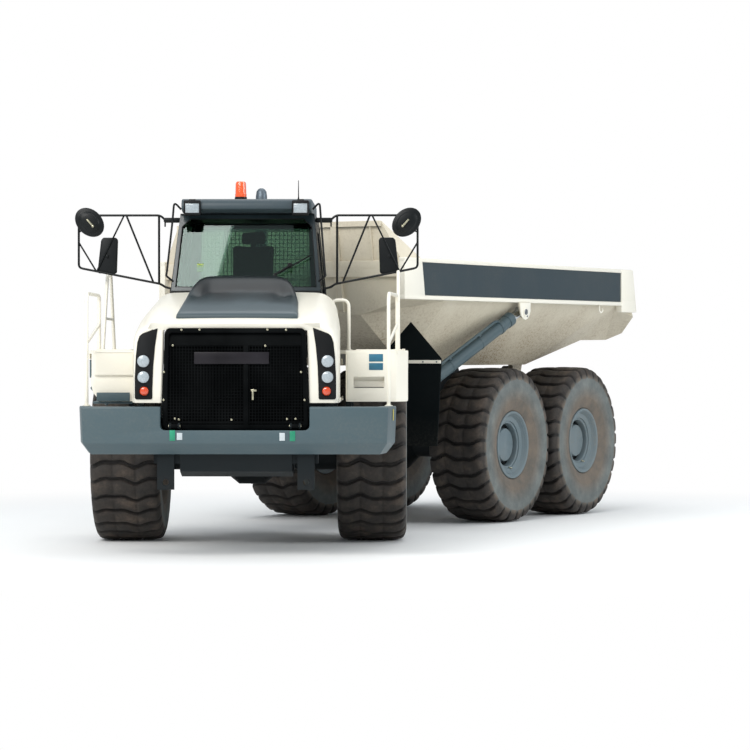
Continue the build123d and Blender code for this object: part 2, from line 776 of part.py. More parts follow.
def cab_shell(wall):
    shell = wall
    for cutter in cab_cutters():
        shell = shell - cutter
    shell = shell - door_cutter(DOOR_GAP)
    for z in DOOR_HINGES:
        x, y = door_pin()
        eye = bar((x, y, z - 60), (x, y, z - 30), DOOR_KNUCKLE)
        lug = block(CAB_HALF - 2, x + DOOR_KNUCKLE, DOOR_REAR + DOOR_GAP, y + 70, z - 60, z - 30)
        pin = bar((x, y, z - 60), (x, y, z + 45), DOOR_PIN_RADIUS)
        shell = shell + eye + lug + pin
    return shell


def cab_glass():
    """Panes set in the middle of the wall's thickness."""
    band = cab_outer(CAB_WALL / 2) - cab_outer(CAB_WALL / 2 + GLASS_THICK)
    panes = []
    for cutter in cab_cutters():
        panes.append(band & cutter)
    return Compound(children=[p for pane in panes for p in pane.solids()])


def door_panel(wall):
    panel = wall & door_cutter(0)
    window = side_plate(DOOR_WINDOW, CAB_TOP_HALF - 120, CAB_HALF + 20)
    panel = panel - window
    x, y = door_pin()
    for z in DOOR_HINGES:
        low = z - 30 + PIN_GAP
        knuckle = bar((x, y, low), (x, y, z + 40), DOOR_KNUCKLE)
        leaf = block(CAB_HALF - 2, x + DOOR_KNUCKLE, y - 80, y, low, z + 40)
        bore = bar((x, y, low - 1), (x, y, z + 41), DOOR_PIN_RADIUS + PIN_GAP)
        panel = panel + (knuckle + leaf - bore)
    return panel


def door_glass():
    band = cab_outer(CAB_WALL / 2) - cab_outer(CAB_WALL / 2 + GLASS_THICK)
    return band & side_plate(DOOR_WINDOW, CAB_TOP_HALF - 120, CAB_HALF + 20)


def cab_roof():
    rim_half = CAB_TOP_HALF - 15
    outline = [
        (ROOF_VISOR, CAB_TOP + 35),
        (CAB_TOP_FRONT - 20, CAB_TOP),
        (CAB_REAR - 40, CAB_TOP),
        (CAB_REAR - 20, CAB_TOP + 60),
        (CAB_REAR - 90, ROOF_TOP - 20),
        (CAB_TOP_FRONT + 60, ROOF_TOP),
        (ROOF_VISOR + 30, ROOF_TOP - 15),
        (ROOF_VISOR, ROOF_TOP - 55),
    ]
    return side_plate(outline, -rim_half, rim_half)


def seat():
    floor = CAB_FLOOR + CAB_WALL
    back_half = SEAT_HALF - 15
    base = block(-190, 190, SEAT_FRONT + 80, SEAT_REAR - 10, floor, SEAT_BASE_TOP)
    cushion = block(-SEAT_HALF, SEAT_HALF, SEAT_FRONT, SEAT_REAR, SEAT_BASE_TOP, SEAT_TOP)
    back = side_plate(
        [
            (SEAT_REAR - 60, SEAT_TOP),
            (SEAT_REAR + 70, SEAT_TOP),
            (SEAT_REAR + 200, SEAT_BACK_TOP),
            (SEAT_REAR + 80, SEAT_BACK_TOP + 10),
        ],
        -back_half,
        back_half,
    )
    head = side_plate(
        [
            (SEAT_REAR + 102, SEAT_BACK_TOP - 10),
            (SEAT_REAR + 198, SEAT_BACK_TOP - 10),
            (SEAT_REAR + 225, SEAT_HEAD_TOP - 10),
            (SEAT_REAR + 130, SEAT_HEAD_TOP),
        ],
        -140,
        140,
    )
    return base + cushion + back + head


def console():
    """The dash under the windscreen, the steering column with its wheel and the side console."""
    floor = CAB_FLOOR + CAB_WALL
    dash_front = CAB_FRONT + CAB_WALL
    dash_half = CAB_HALF - CAB_WALL - 20
    outline = [
        (dash_front, floor),
        (DASH_REAR - 40, floor),
        (DASH_REAR, DASH_TOP - 130),
        (DASH_REAR - 100, DASH_TOP),
        (dash_front, DASH_TOP),
    ]
    dash = side_plate(outline, -dash_half, dash_half)
    lean = (0, 200, 230)
    top = (0, WHEEL_Y, WHEEL_HEIGHT)
    column = bar((0, WHEEL_Y - 200, WHEEL_HEIGHT - 230), top, 40)
    wheel_plane = Plane(origin=top, z_dir=lean)
    wheel = wheel_plane * Torus(WHEEL_RADIUS, 16)
    spokes = wheel_plane * (Box(WHEEL_RADIUS * 2 - 10, 36, 18) + Cylinder(60, 30))
    side = block(SEAT_HALF + 155, SEAT_HALF + 335, SEAT_FRONT - 30, SEAT_REAR + 80, floor, SEAT_TOP + 70)
    return dash + column + wheel + spokes + side


def fender_deck(side):
    """The deck over the wheel with the box in front of it; side +1 is the truck's left."""
    edge = FENDER_EDGE if side > 0 else FENDER_RIGHT_EDGE
    outer = min(FENDER_OUTER, edge - 40)
    deck = side_plate(
        [
            (FENDER_FRONT, FENDER_TOP - FENDER_DECK),
            (FENDER_REAR - 260, FENDER_TOP - FENDER_DECK),
            (FENDER_REAR, FENDER_TOP - 160),
            (FENDER_REAR, FENDER_TOP - 120),
            (FENDER_REAR - 250, FENDER_TOP),
            (FENDER_FRONT, FENDER_TOP),
        ],
        CAB_HALF + 40,
        edge,
    )
    nose_gap = block(
        CAB_HALF,
        FENDER_INNER,
        FENDER_FRONT - 10,
        HOOD_REAR + 60,
        FENDER_TOP - 180,
        FENDER_TOP + 120,
    )
    chamfer = deck_plate(
        [
            (outer, FENDER_FRONT - 5),
            (edge + 5, FENDER_FRONT - 5),
            (edge + 5, FENDER_FRONT + FENDER_CHAMFER),
        ],
        FENDER_BOTTOM - 5,
        FENDER_TOP + 5,
    )
    skirt = side_plate(
        [
            (FENDER_FRONT, FENDER_TOP - 90),
            (FENDER_REAR - 260, FENDER_TOP - 90),
            (FENDER_REAR, FENDER_TOP - 200),
            (FENDER_REAR, FENDER_TOP - 120),
            (FENDER_REAR - 250, FENDER_TOP),
            (FENDER_FRONT, FENDER_TOP),
        ],
        edge - 20,
        edge,
    )
    wall = FENDER_WALL
    box_outline = [
        (FENDER_INNER, FENDER_FRONT),
        (outer, FENDER_FRONT),
        (edge, FENDER_FRONT + FENDER_CHAMFER),
        (edge, FENDER_BOX_REAR),
        (FENDER_INNER, FENDER_BOX_REAR),
    ]
    box = deck_plate(box_outline, FENDER_BOTTOM, FENDER_TOP)
    hollow = block(
        FENDER_INNER + wall,
        outer - wall,
        FENDER_FRONT + wall,
        FENDER_BOX_REAR - wall,
        FENDER_BOTTOM + wall,
        FENDER_TOP - wall,
    )
    shape = deck - nose_gap + skirt + (box - hollow) - chamfer
    if side > 0:
        far = FENDER_FRONT + STEP_DEPTH
        step = block(STEP_INNER, STEP_OUTER, FENDER_FRONT - 1, far, STEP_LOW, STEP_HIGH)
        return shape - step
    recess = block(
        FENDER_INNER - 1,
        STEP_OUTER + 5,
        FENDER_FRONT - 1,
        FENDER_FRONT + STEP_DEPTH,
        FENDER_BOTTOM - 1,
        STEP_HIGH + 1,
    )
    return mirrored(shape - recess)


def handrails():
    """Bent tubes that stand on the bumper ends and on the fender decks."""
    rails = []
    # side, x of the rear post
    for side, rear_x in ((-1, -1530.0), (1, 1600.0)):
        x = side * BUMPER_HALF
        front = [
            (x, HANDRAIL_FRONT, BUMPER_TOP),
            (x, HANDRAIL_FRONT, HANDRAIL_TOP),
            (rear_x, HANDRAIL_REAR, HANDRAIL_TOP),
            (rear_x, HANDRAIL_REAR, FENDER_TOP),
        ]
        rails.append(tube_run(front, HANDRAIL_RADIUS, 90))
        knee = bar(
            (x, HANDRAIL_FRONT, HANDRAIL_KNEE_FRONT),
            (rear_x, HANDRAIL_REAR, HANDRAIL_KNEE_REAR),
            HANDRAIL_RADIUS,
        )
        rails.append(knee)
    share = (DECK_RAIL_KNEE - FENDER_TOP) / (DECK_RAIL_TOP - FENDER_TOP)
    for side, reach, front_foot, front_top, rear_top, rear_foot in DECK_RAILS:
        x = side * reach
        deck = [
            (x, front_foot, FENDER_TOP - HANDRAIL_RADIUS),
            (x, front_top, DECK_RAIL_TOP),
            (x, rear_top, DECK_RAIL_TOP),
            (x, rear_foot, FENDER_TOP - HANDRAIL_RADIUS),
        ]
        below = block(
            x - 2 * HANDRAIL_RADIUS,
            x + 2 * HANDRAIL_RADIUS,
            front_foot - FENDER_DECK,
            rear_foot + FENDER_DECK,
            FENDER_TOP - FENDER_DECK,
            FENDER_TOP,
        )
        rails.append(tube_run(deck, HANDRAIL_RADIUS, 80) - below)
        near = (x, front_foot + share * (front_top - front_foot), DECK_RAIL_KNEE)
        far = (x, rear_foot + share * (rear_top - rear_foot), DECK_RAIL_KNEE)
        rails.append(bar(near, far, HANDRAIL_RADIUS))
    hoop = [
        (HOOP_INNER, HOOP_Y, FENDER_TOP),
        (HOOP_INNER, HOOP_Y, HOOP_TOP),
        (HOOP_OUTER, HOOP_Y, HOOP_TOP),
        (HOOP_OUTER, HOOP_Y, FENDER_TOP),
    ]
    rails.append(tube_run(hoop, HANDRAIL_RADIUS, 80))
    return Compound(children=[s for r in rails for s in r.solids()])


def mirrors():
    """An upright tube frame on each side of the cab with a round and an oblong mirror."""
    loop = [
        (MIRROR_FOOT_X, MIRROR_TOP - 52),
        (MIRROR_FOOT_X + 55, MIRROR_TOP),
        (MIRROR_REACH, MIRROR_TOP),
        (MIRROR_REACH, MIRROR_BOTTOM + 50),
        (MIRROR_REACH - 40, MIRROR_BOTTOM),
        (MIRROR_FOOT_X + 50, MIRROR_BOTTOM - 168),
        (CAB_HALF - 10, MIRROR_BOTTOM - 215),
    ]
    stays = [
        # x and z of the upper end, x and z of the lower end, radius
        (MIRROR_FOOT_X + 69, MIRROR_TOP, MIRROR_FOOT_X + 69, MIRROR_BOTTOM - 165, MIRROR_TUBE),
        (1330, MIRROR_TOP, 1624, MIRROR_BOTTOM - 30, MIRROR_STAY_TUBE),
        (1306, MIRROR_TOP, 1015, MIRROR_BOTTOM - 152, MIRROR_STAY_TUBE),
        (MIRROR_REACH, MIRROR_TOP - 289, 1630, MIRROR_BOTTOM - 29, MIRROR_STAY_TUBE),
    ]
    tubes = []
    for (x0, z0), (x1, z1) in zip(loop, loop[1:]):
        tubes.append(bar((x0, MIRROR_Y, z0), (x1, MIRROR_Y, z1), MIRROR_TUBE))
    for x, z in loop[1:-1]:
        tubes.append(Pos(x, MIRROR_Y, z) * Sphere(MIRROR_TUBE))
    for x0, z0, x1, z1, radius in stays:
        tubes.append(bar((x0, MIRROR_Y, z0), (x1, MIRROR_Y, z1), radius))
    dish_front = (ROUND_MIRROR_X, MIRROR_Y - 50, ROUND_MIRROR_Z)
    dish_rear = (ROUND_MIRROR_X, MIRROR_Y + 20, ROUND_MIRROR_Z)
    round_mirror = bar(dish_rear, dish_front, ROUND_MIRROR_RADIUS)
    flat_mirror = front_plate(FLAT_MIRROR, MIRROR_Y, MIRROR_Y + FLAT_MIRROR_THICK)
    frame = joined(tubes) + round_mirror + flat_mirror
    wall_in = (CAB_HALF - CAB_TOP_HALF) / (CAB_TOP - CAB_WAIST)
    pad_low = MIRROR_TOP - 70
    pad_in = CAB_HALF - wall_in * (pad_low - CAB_WAIST) - 2
    near = MIRROR_Y - MIRROR_PAD
    far = MIRROR_Y + MIRROR_PAD
    high_pad = block(pad_in, MIRROR_FOOT_X + 20, near, far, pad_low, pad_low + 2 * MIRROR_PAD)
    low_pad = block(CAB_HALF, CAB_HALF + 40, near, far, CAB_WAIST - 60, CAB_WAIST - 5)
    low_pad = low_pad + block(CAB_HALF + 8, CAB_HALF + 40, near, far, CAB_WAIST - 10, CAB_WAIST + 45)
    frame = frame + high_pad + low_pad - cab_outer(0)
    return both(frame)


def roof_lamps():
    """Work lights under the visor, the beacon and the aerial."""
    lights = []
    for x in (-WORK_LIGHT_X, WORK_LIGHT_X):
        near = x - WORK_LIGHT_HALF
        far = x + WORK_LIGHT_HALF
        lights.append(block(near, far, ROOF_VISOR - 40, ROOF_VISOR, WORK_LIGHT_LOW, WORK_LIGHT_HIGH))
    seam = ROOF_TOP + 45
    base = bar((BEACON_X, BEACON_Y, ROOF_TOP - 25), (BEACON_X, BEACON_Y, seam), BEACON_RADIUS + 10)
    beacon = bar((BEACON_X, BEACON_Y, seam), (BEACON_X, BEACON_Y, BEACON_TOP), BEACON_RADIUS)
    aerial = bar((AERIAL_X, AERIAL_Y, ROOF_TOP - 25), (AERIAL_X, AERIAL_Y, AERIAL_TOP), 7)
    aerial = aerial + bar((AERIAL_X, AERIAL_Y, ROOF_TOP - 25), (AERIAL_X, AERIAL_Y, ROOF_TOP + 30), 22)
    solids = lights + [(base + beacon) - cab_roof(), aerial - cab_roof()]
    return Compound(children=[s for shape in solids for s in shape.solids()])


def exhaust_stack():
    x = STACK_X
    y = STACK_Y
    muffler = block(x - 300, x + 300, y - 110, y + 120, MUFFLER_LOW, MUFFLER_HIGH)
    pipe = bar((x, y, MUFFLER_HIGH), (x, y, STACK_TOP - 40), STACK_RADIUS)
    cap = bar((x, y, STACK_TOP - 130), (x, y, STACK_TOP), STACK_RADIUS + 18)
    feet = block(x - 280, x + 280, y + 10, y + 110, RAIL_TOP, MUFFLER_LOW)
    return muffler + pipe + cap + feet


def hood_section(y, half, bottom, top):
    """The outline of the hood at one station: straight sides, round shoulders and a level top."""
    drop = HOOD_SHOULDER_DROP
    inset = HOOD_SHOULDER_IN
    round_in = 1 - math.sqrt(0.5)
    places = [
        (-half, bottom),
        (-half, top - drop),
        (-half + inset * round_in, top - drop * round_in),
        (-half + inset, top),
        (half - inset, top),
        (half - inset * round_in, top - drop * round_in),
        (half, top - drop),
        (half, bottom),
    ]
    p = [Vector(x, y, z) for x, z in places]
    edges = [
        Edge.make_line(p[0], p[1]),
        Edge.make_three_point_arc(p[1], p[2], p[3]),
        Edge.make_line(p[3], p[4]),
        Edge.make_three_point_arc(p[4], p[5], p[6]),
        Edge.make_line(p[6], p[7]),
        Edge.make_line(p[7], p[0]),
    ]
    return Wire(edges)


def hood_solid(shrink):
    bottom = HOOD_BOTTOM - (1 if shrink else 0)
    rows = [
        # y, half width, top
        (HOOD_FRONT + (0 if not shrink else -1), HOOD_HALF - 20, HOOD_NOSE_TOP),
        (HOOD_FRONT + 500, HOOD_HALF, HOOD_NOSE_TOP + 150),
        (HOOD_REAR + (0 if not shrink else 1), HOOD_HALF - 60, HOOD_REAR_TOP),
    ]
    wires = [hood_section(y, half - shrink, bottom, top - shrink) for y, half, top in rows]
    return Solid.make_loft(wires, ruled=True)


def hood():
    """The tilting hood: a shell with a front frame round the grille."""
    shell = hood_solid(0) - hood_solid(HOOD_WALL)
    face = hood_solid(0) & block(-2000, 2000, HOOD_FRONT - 1, HOOD_FRONT + HOOD_FACE, 1000, 3000)
    gap = GRILLE_GAP
    opening = front_plate(
        [
            (-GRILLE_HALF - gap, HOOD_BOTTOM - 10),
            (GRILLE_HALF + gap, HOOD_BOTTOM - 10),
            (GRILLE_TOP_HALF + gap, GRILLE_TOP + gap),
            (-GRILLE_TOP_HALF - gap, GRILLE_TOP + gap),
        ],
        HOOD_FRONT - 50,
        HOOD_FRONT + 60,
    )
    rib_half = HOOD_HALF - 70
    rib = block(-rib_half, rib_half, HOOD_REAR - 20, HOOD_REAR, HOOD_REAR_TOP - 390, HOOD_REAR_TOP - 30)
    rib = rib & hood_solid(HOOD_WALL)
    return shell + face + rib - opening


def grille():
    """The grille panel with the two hinge eyes at its foot."""
    outline = [
        (-GRILLE_HALF, GRILLE_BOTTOM),
        (GRILLE_HALF, GRILLE_BOTTOM),
        (GRILLE_TOP_HALF, GRILLE_TOP),
        (-GRILLE_TOP_HALF, GRILLE_TOP),
    ]
    panel = front_plate(outline, HOOD_FRONT - 25, HOOD_FRONT + GRILLE_THICK - 25)
    face = HOOD_FRONT + HOOD_FACE
    back = face + 15
    tie_half = GRILLE_TOP_HALF - 60
    flange_half = GRILLE_TOP_HALF + 30
    ties = block(-tie_half, tie_half, HOOD_FRONT + 10, back, GRILLE_TOP - 60, GRILLE_TOP - 20)
    flange = block(-flange_half, flange_half, face, back, GRILLE_TOP - 60, GRILLE_TOP + 30)
    ties = ties + flange
    eyes = []
    y = HOOD_PIVOT_Y
    z = HOOD_PIVOT_Z
    for x in (-HINGE_X, HINGE_X):
        eye = bar((x - 34, y, z), (x + 34, y, z), 2 * HINGE_PIN_RADIUS)
        arm = block(x - 34, x + 34, y, HOOD_FRONT - 20, z - 20, z + 20)
        bore = bar((x - 60, y, z), (x + 60, y, z), HINGE_PIN_RADIUS + PIN_GAP)
        eyes.append(eye + arm - bore)
    slots = []
    for x in (-HINGE_X, HINGE_X):
        for middle in (x - 45, x + 45):
            near = HOOD_FRONT - 60
            slots.append(block(middle - 18, middle + 18, near, near + 120, GRILLE_BOTTOM - 1, z + 60))
    shape = panel + ties + joined(eyes)
    for slot in slots:
        shape = shape - slot
    return shape


def hood_scoop():
    """The raised bulge along the middle of the hood."""
    rows = [
        # y, half width, base, top
        (SCOOP_FRONT, SCOOP_HALF - 30, 2350, 2425),
        (SCOOP_FRONT + 350, SCOOP_HALF, 2400, 2660),
        (SCOOP_REAR, SCOOP_REAR_HALF + 40, 2560, SCOOP_TOP),
    ]
    wires = []
    for y, half, base, top in rows:
        shoulder = half * 0.97
        crown = half * 0.7
        points = [
            (-half, base),
            (-shoulder, top - 90),
            (-crown, top),
            (crown, top),
            (shoulder, top - 90),
            (half, base),
        ]
        wires.append(Wire.make_polygon([Vector(x, y, z) for x, z in points], close=True))
    return Solid.make_loft(wires, ruled=True) - hood_solid(0)


def headlamps():
    """The dark lamp panels beside the grille, each with three round lamps."""
    outline = [
        (LAMP_X - 85, 1600),
        (LAMP_X + 85, 1600),
        (LAMP_X + 45, 2230),
        (LAMP_X - 65, 2310),
        (LAMP_X - 145, 2290),
    ]
    panel = front_plate(outline, HOOD_FRONT - 22, HOOD_FRONT)
    for z, radius in ((1972, 67), (1814, 65), (1680, 50)):
        panel = panel + bar((LAMP_X, HOOD_FRONT - 34, z), (LAMP_X, HOOD_FRONT - 20, z), radius)
    return Compound(children=[s for shape in (mirrored(panel), panel) for s in shape.solids()])


# Hitch
def hitch_yoke():
    gap = PIN_GAP
    low = HITCH_PLATE_BOTTOM + PLATE_THICK + gap
    high = HITCH_PLATE_TOP - PLATE_THICK - gap
    hub = bar((0, 0, low), (0, 0, high), YOKE_RADIUS)
    tube_end = (0, REAR_RAIL_FRONT - 20, OSCILLATION_Z)
    tube = bar((0, 0, OSCILLATION_Z), tube_end, OSCILLATION_TUBE_RADIUS - PIN_GAP)
    shape = hub + tube
    for side in (-1, 1):
        for z in (STEER_Z - STEER_EYE_WIDTH / 2 - RUN_GAP - 30, STEER_Z + STEER_EYE_WIDTH / 2 + RUN_GAP):
            ear = deck_plate(
                [
                    (side * 60, -80),
                    (side * STEER_EAR, -60),
                    (side * (STEER_EAR + 60), 0),
                    (side * STEER_EAR, 60),
                    (side * 60, 120),
                ][:: side],
                z,
                z + 30,
            )
            shape = shape + ear
    bore = bar((0, 0, low - 1), (0, 0, high + 1), HITCH_PIN_RADIUS + PIN_GAP)
    return shape - bore


# Rear frame pieces
def rear_bulkhead():
    """The housing of the oscillation bearing with the plate box behind it that carries the rails."""
    z = OSCILLATION_Z
    housing = bar((0, HOUSING_FRONT, z), (0, REAR_RAIL_FRONT - 100, z), OSCILLATION_HOUSING_RADIUS)
    half = REAR_RAIL_OUTER + 20
    low = OSCILLATION_Z - OSCILLATION_HOUSING_RADIUS
    box = block(-half, half, REAR_RAIL_FRONT - 200, REAR_RAIL_FRONT, low, REAR_RAIL_TOP - 60)
    bore = bar((0, HOUSING_FRONT - 1, z), (0, REAR_RAIL_FRONT + 1, z), OSCILLATION_TUBE_RADIUS)
    return housing + box - bore


def rear_chassis():
    """Rails, cross tubes, the feet of the hoist, the tipping pins, the flap bar and the tail beam."""
    low = OSCILLATION_Z - OSCILLATION_HOUSING_RADIUS
    pieces = []
    rail = block(
        REAR_RAIL_INNER,
        REAR_RAIL_OUTER,
        REAR_RAIL_FRONT,
        REAR_RAIL_REAR,
        REAR_RAIL_BOTTOM,
        REAR_RAIL_TOP,
    )
    pieces.append(both(rail))
    # Drop from the bulkhead to the rails
    pieces.append(
        both(
            side_plate(
                [
                    (REAR_RAIL_FRONT, low + 10),
                    (REAR_RAIL_FRONT + 500, REAR_RAIL_BOTTOM),
                    (REAR_RAIL_FRONT + 500, REAR_RAIL_BOTTOM + 50),
                    (REAR_RAIL_FRONT, REAR_RAIL_BOTTOM + 50),
                ],
                REAR_RAIL_INNER,
                REAR_RAIL_OUTER,
            )
        )
    )
    # Cross tubes: v, z, radius, reach
    foot_u, foot_v, foot_z = HOIST_FOOT
    foot_reach = foot_u - HOIST_EYE_WIDTH / 2 - 30
    middle_v = HITCH_TO_MID_AXLE + BOGIE_SPACING / 2
    tubes = [
        (foot_v, foot_z, 80.0, foot_reach),
        (2300.0, 1560.0, 90.0, REAR_RAIL_INNER + 10),
        (middle_v, BEAM_PIVOT_Z, BEAM_PIVOT_RADIUS, BEAM_OUTER + 40),
        (middle_v + 300, 1560.0, 90.0, REAR_RAIL_INNER + 10),
        (TIP_PIVOT_V, TIP_PIVOT_Z - 130, 80.0, REAR_RAIL_INNER + 10),
    ]
    for v, z_tube, radius, reach in tubes:
        pieces.append(bar((-reach, v, z_tube), (reach, v, z_tube), radius))
    near = middle_v - 110
    far = middle_v + 110
    hanger = block(REAR_RAIL_INNER, REAR_RAIL_OUTER, near, far, BEAM_BOTTOM + 10, REAR_RAIL_BOTTOM + 5)
    pieces.append(both(hanger))
    # Ball and stub of the hoist foot
    stub = bar((foot_reach - 5, foot_v, foot_z), (foot_u, foot_v, foot_z), 27)
    ball = Pos(foot_u, foot_v, foot_z) * Sphere(HOIST_BALL_RADIUS)
    pieces.append(both(stub + ball))
    # Tipping pivot: bosses on the rail ends and a pin right through
    boss = bar(
        (REAR_RAIL_INNER, TIP_PIVOT_V, TIP_PIVOT_Z),
        (REAR_RAIL_OUTER, TIP_PIVOT_V, TIP_PIVOT_Z),
        110,
    )
    pin = bar(
        (REAR_RAIL_INNER, TIP_PIVOT_V, TIP_PIVOT_Z),
        (REAR_RAIL_OUTER + 95, TIP_PIVOT_V, TIP_PIVOT_Z),
        TIP_PIN_RADIUS,
    )
    pieces.append(both(boss + pin))
    # Posts that carry the flap bar
    for u in (820.0, 960.0):
        post = block(u - 20, u + 20, FLAP_V + FLAP_THICK, FLAP_V + 60, foot_z - 40, FLAP_BAR_TOP)
        arm = block(u - 20, u + 20, FLAP_V + 40, foot_v, foot_z - 40, foot_z + 40)
        pieces.append(both(post + arm))
    flap_bar = block(
        FLAP_INNER,
        FLAP_OUTER - FLAP_TAPER,
        FLAP_V + FLAP_THICK,
        FLAP_V + 40,
        FLAP_BAR_TOP - 40,
        FLAP_BAR_TOP,
    )
    pieces.append(both(flap_bar))
    # Tail beam with the rear tow bracket
    tail = REAR_RAIL_REAR
    pieces.append(block(-620, 620, tail - 5, tail + 90, REAR_RAIL_BOTTOM, REAR_RAIL_BOTTOM + 200))
    tow = block(-110, 110, tail + 80, tail + 260, REAR_RAIL_BOTTOM + 10, REAR_RAIL_BOTTOM + 60)
    tow = tow + block(-110, 110, tail + 80, tail + 260, REAR_RAIL_BOTTOM + 140, REAR_RAIL_BOTTOM + 190)
    tow_bore = bar(
        (0, tail + 190, REAR_RAIL_BOTTOM - 10),
        (0, tail + 190, REAR_RAIL_BOTTOM + 250),
        TOW_BORE_RADIUS,
    )
    pieces.append(tow - tow_bore)
    return joined(pieces)


def bogie_axles():
    """The middle and the rear axle, each with the rubber seats of the beams on it."""
    solids = []
    for v in (HITCH_TO_MID_AXLE, HITCH_TO_MID_AXLE + BOGIE_SPACING):
        shape = Pos(0, v, TYRE_RADIUS) * axle(-1)
        seat_block = block(BEAM_INNER, BEAM_OUTER, v - 90, v + 90, TYRE_RADIUS + 60, BEAM_BOTTOM)
        solids.append(shape + both(seat_block))
    return Compound(children=[s for shape in solids for s in shape.solids()])


def equaliser_beams():
    middle = HITCH_TO_MID_AXLE + BOGIE_SPACING / 2
    front = HITCH_TO_MID_AXLE - 130
    rear = HITCH_TO_MID_AXLE + BOGIE_SPACING + 130
    outline = [
        (front, BEAM_BOTTOM),
        (rear, BEAM_BOTTOM),
        (rear, BEAM_BOTTOM + 90),
        (middle + 160, BEAM_TOP),
        (middle - 160, BEAM_TOP),
        (front, BEAM_BOTTOM + 90),
    ]
    beam = side_plate(outline, BEAM_INNER, BEAM_OUTER)
    near = (BEAM_INNER - 5, middle, BEAM_PIVOT_Z)
    far = (BEAM_OUTER + 5, middle, BEAM_PIVOT_Z)
    beam = beam - bar(near, far, BEAM_PIVOT_RADIUS + PIN_GAP)
    solids = [beam, mirrored(beam)]
    return Compound(children=[s for shape in solids for s in shape.solids()])


def mud_flaps():
    outline = [
        (FLAP_INNER, FLAP_BOTTOM),
        (FLAP_OUTER - FLAP_TAPER, FLAP_BOTTOM),
        (FLAP_OUTER, FLAP_BAR_TOP + 15),
        (FLAP_APEX, FLAP_TOP),
        (FLAP_APEX - (FLAP_TOP - FLAP_BAR_TOP), FLAP_BAR_TOP),
        (FLAP_INNER, FLAP_BAR_TOP),
    ]
    flap = front_plate(outline, FLAP_V, FLAP_V + FLAP_THICK)
    return Compound(children=[s for shape in (flap, mirrored(flap)) for s in shape.solids()])


def tail_lamps():
    tail = REAR_RAIL_REAR + 90
    lamp = block(470, 600, tail, tail + 45, REAR_RAIL_BOTTOM + 60, REAR_RAIL_BOTTOM + 160)
    return Compound(children=[s for shape in (lamp, mirrored(lamp)) for s in shape.solids()])


# Dump body pieces
def headboard_v(z):
    """Where the leaning headboard is at a height."""
    return TUB_FRONT - (z - FRONT_FLOOR_Z) * HEADBOARD_LEAN


def tub_lines():
    """The chine of the floor and the line under the side rail, as u, v, z."""
    chine = [
        (FLOOR_HALF, TUB_FRONT, FRONT_FLOOR_Z),
        (FLOOR_HALF, TUB_FLOOR_START, FLOOR_Z),
        (FLOOR_HALF, TUB_FLOOR_END, FLOOR_Z),
        (TAIL_HALF, TUB_TAIL_KNEE, TAIL_Z),
        (TAIL_HALF, TUB_TAIL, TAIL_Z + 6),
    ]
    upper = [
        (SIDE_TOP_HALF, headboard_v(RAIL_LINE_Z), RAIL_LINE_Z),
        (SIDE_TOP_HALF, TUB_FLOOR_START, RAIL_LINE_Z),
        (SIDE_TOP_HALF, TUB_FLOOR_END, RAIL_LINE_Z),
        (SIDE_TOP_HALF, TUB_TAIL_KNEE, RAIL_LINE_Z),
        (SIDE_TOP_HALF, BODY_RAIL_REAR + 110, RAIL_LINE_Z),
    ]
    return chine, upper


def floor_underside(v):
    """The height of the floor's underside on its rise towards the tail."""
    share = (v - TUB_FLOOR_END) / (TUB_TAIL_KNEE - TUB_FLOOR_END)
    return FLOOR_Z + share * (TAIL_Z - FLOOR_Z)


def dump_floor():
    chine, _ = tub_lines()
    pieces = []
    for near, far in zip(chine, chine[1:]):
        corners = [near, far, (-far[0], far[1], far[2]), (-near[0], near[1], near[2])]
        pieces.append(facet(corners, (0, 0, FLOOR_THICK)))
    floor = joined(pieces)
    # Lugs that turn on the tipping pin
    inner = REAR_RAIL_OUTER + 15
    lug = side_plate(
        [
            (TIP_PIVOT_V - 190, floor_underside(TIP_PIVOT_V - 190)),
            (TIP_PIVOT_V - 90, TIP_PIVOT_Z),
            (TIP_PIVOT_V - 60, TIP_PIVOT_Z - 75),
            (TIP_PIVOT_V + 60, TIP_PIVOT_Z - 75),
            (TIP_PIVOT_V + 90, TIP_PIVOT_Z),
            (TIP_PIVOT_V + 190, floor_underside(TIP_PIVOT_V + 190)),
        ],
        inner,
        inner + 60,
    )
    near = (inner - 1, TIP_PIVOT_V, TIP_PIVOT_Z)
    far = (inner + 61, TIP_PIVOT_V, TIP_PIVOT_Z)
    bore = bar(near, far, TIP_PIN_RADIUS + PIN_GAP)
    return floor + both(lug - bore)


def side_half():
    chine, upper = tub_lines()
    run = SIDE_TOP_HALF - FLOOR_HALF
    rise = RAIL_LINE_Z - FLOOR_Z
    push = (-TUB_WALL * rise / math.hypot(run, rise), 0, TUB_WALL * run / math.hypot(run, rise))
    last = upper[-1]
    knee = upper[3]
    tip = (TAIL_HALF + 200, TUB_TAIL_POINT, TAIL_Z + 96)
    edge = (SIDE_TOP_HALF, TUB_TAIL - 210, RAIL_LINE_Z - 140)
    triangles = [
        (chine[0], chine[1], upper[1]),
        (chine[0], upper[1], upper[0]),
        (chine[1], chine[2], upper[2]),
        (chine[1], upper[2], upper[1]),
        (chine[2], chine[3], knee),
        (chine[2], knee, upper[2]),
        (knee, chine[3], chine[4]),
        (knee, chine[4], tip),
        (knee, tip, edge),
        (knee, edge, last),
    ]
    return joined([facet(corners, push) for corners in triangles])


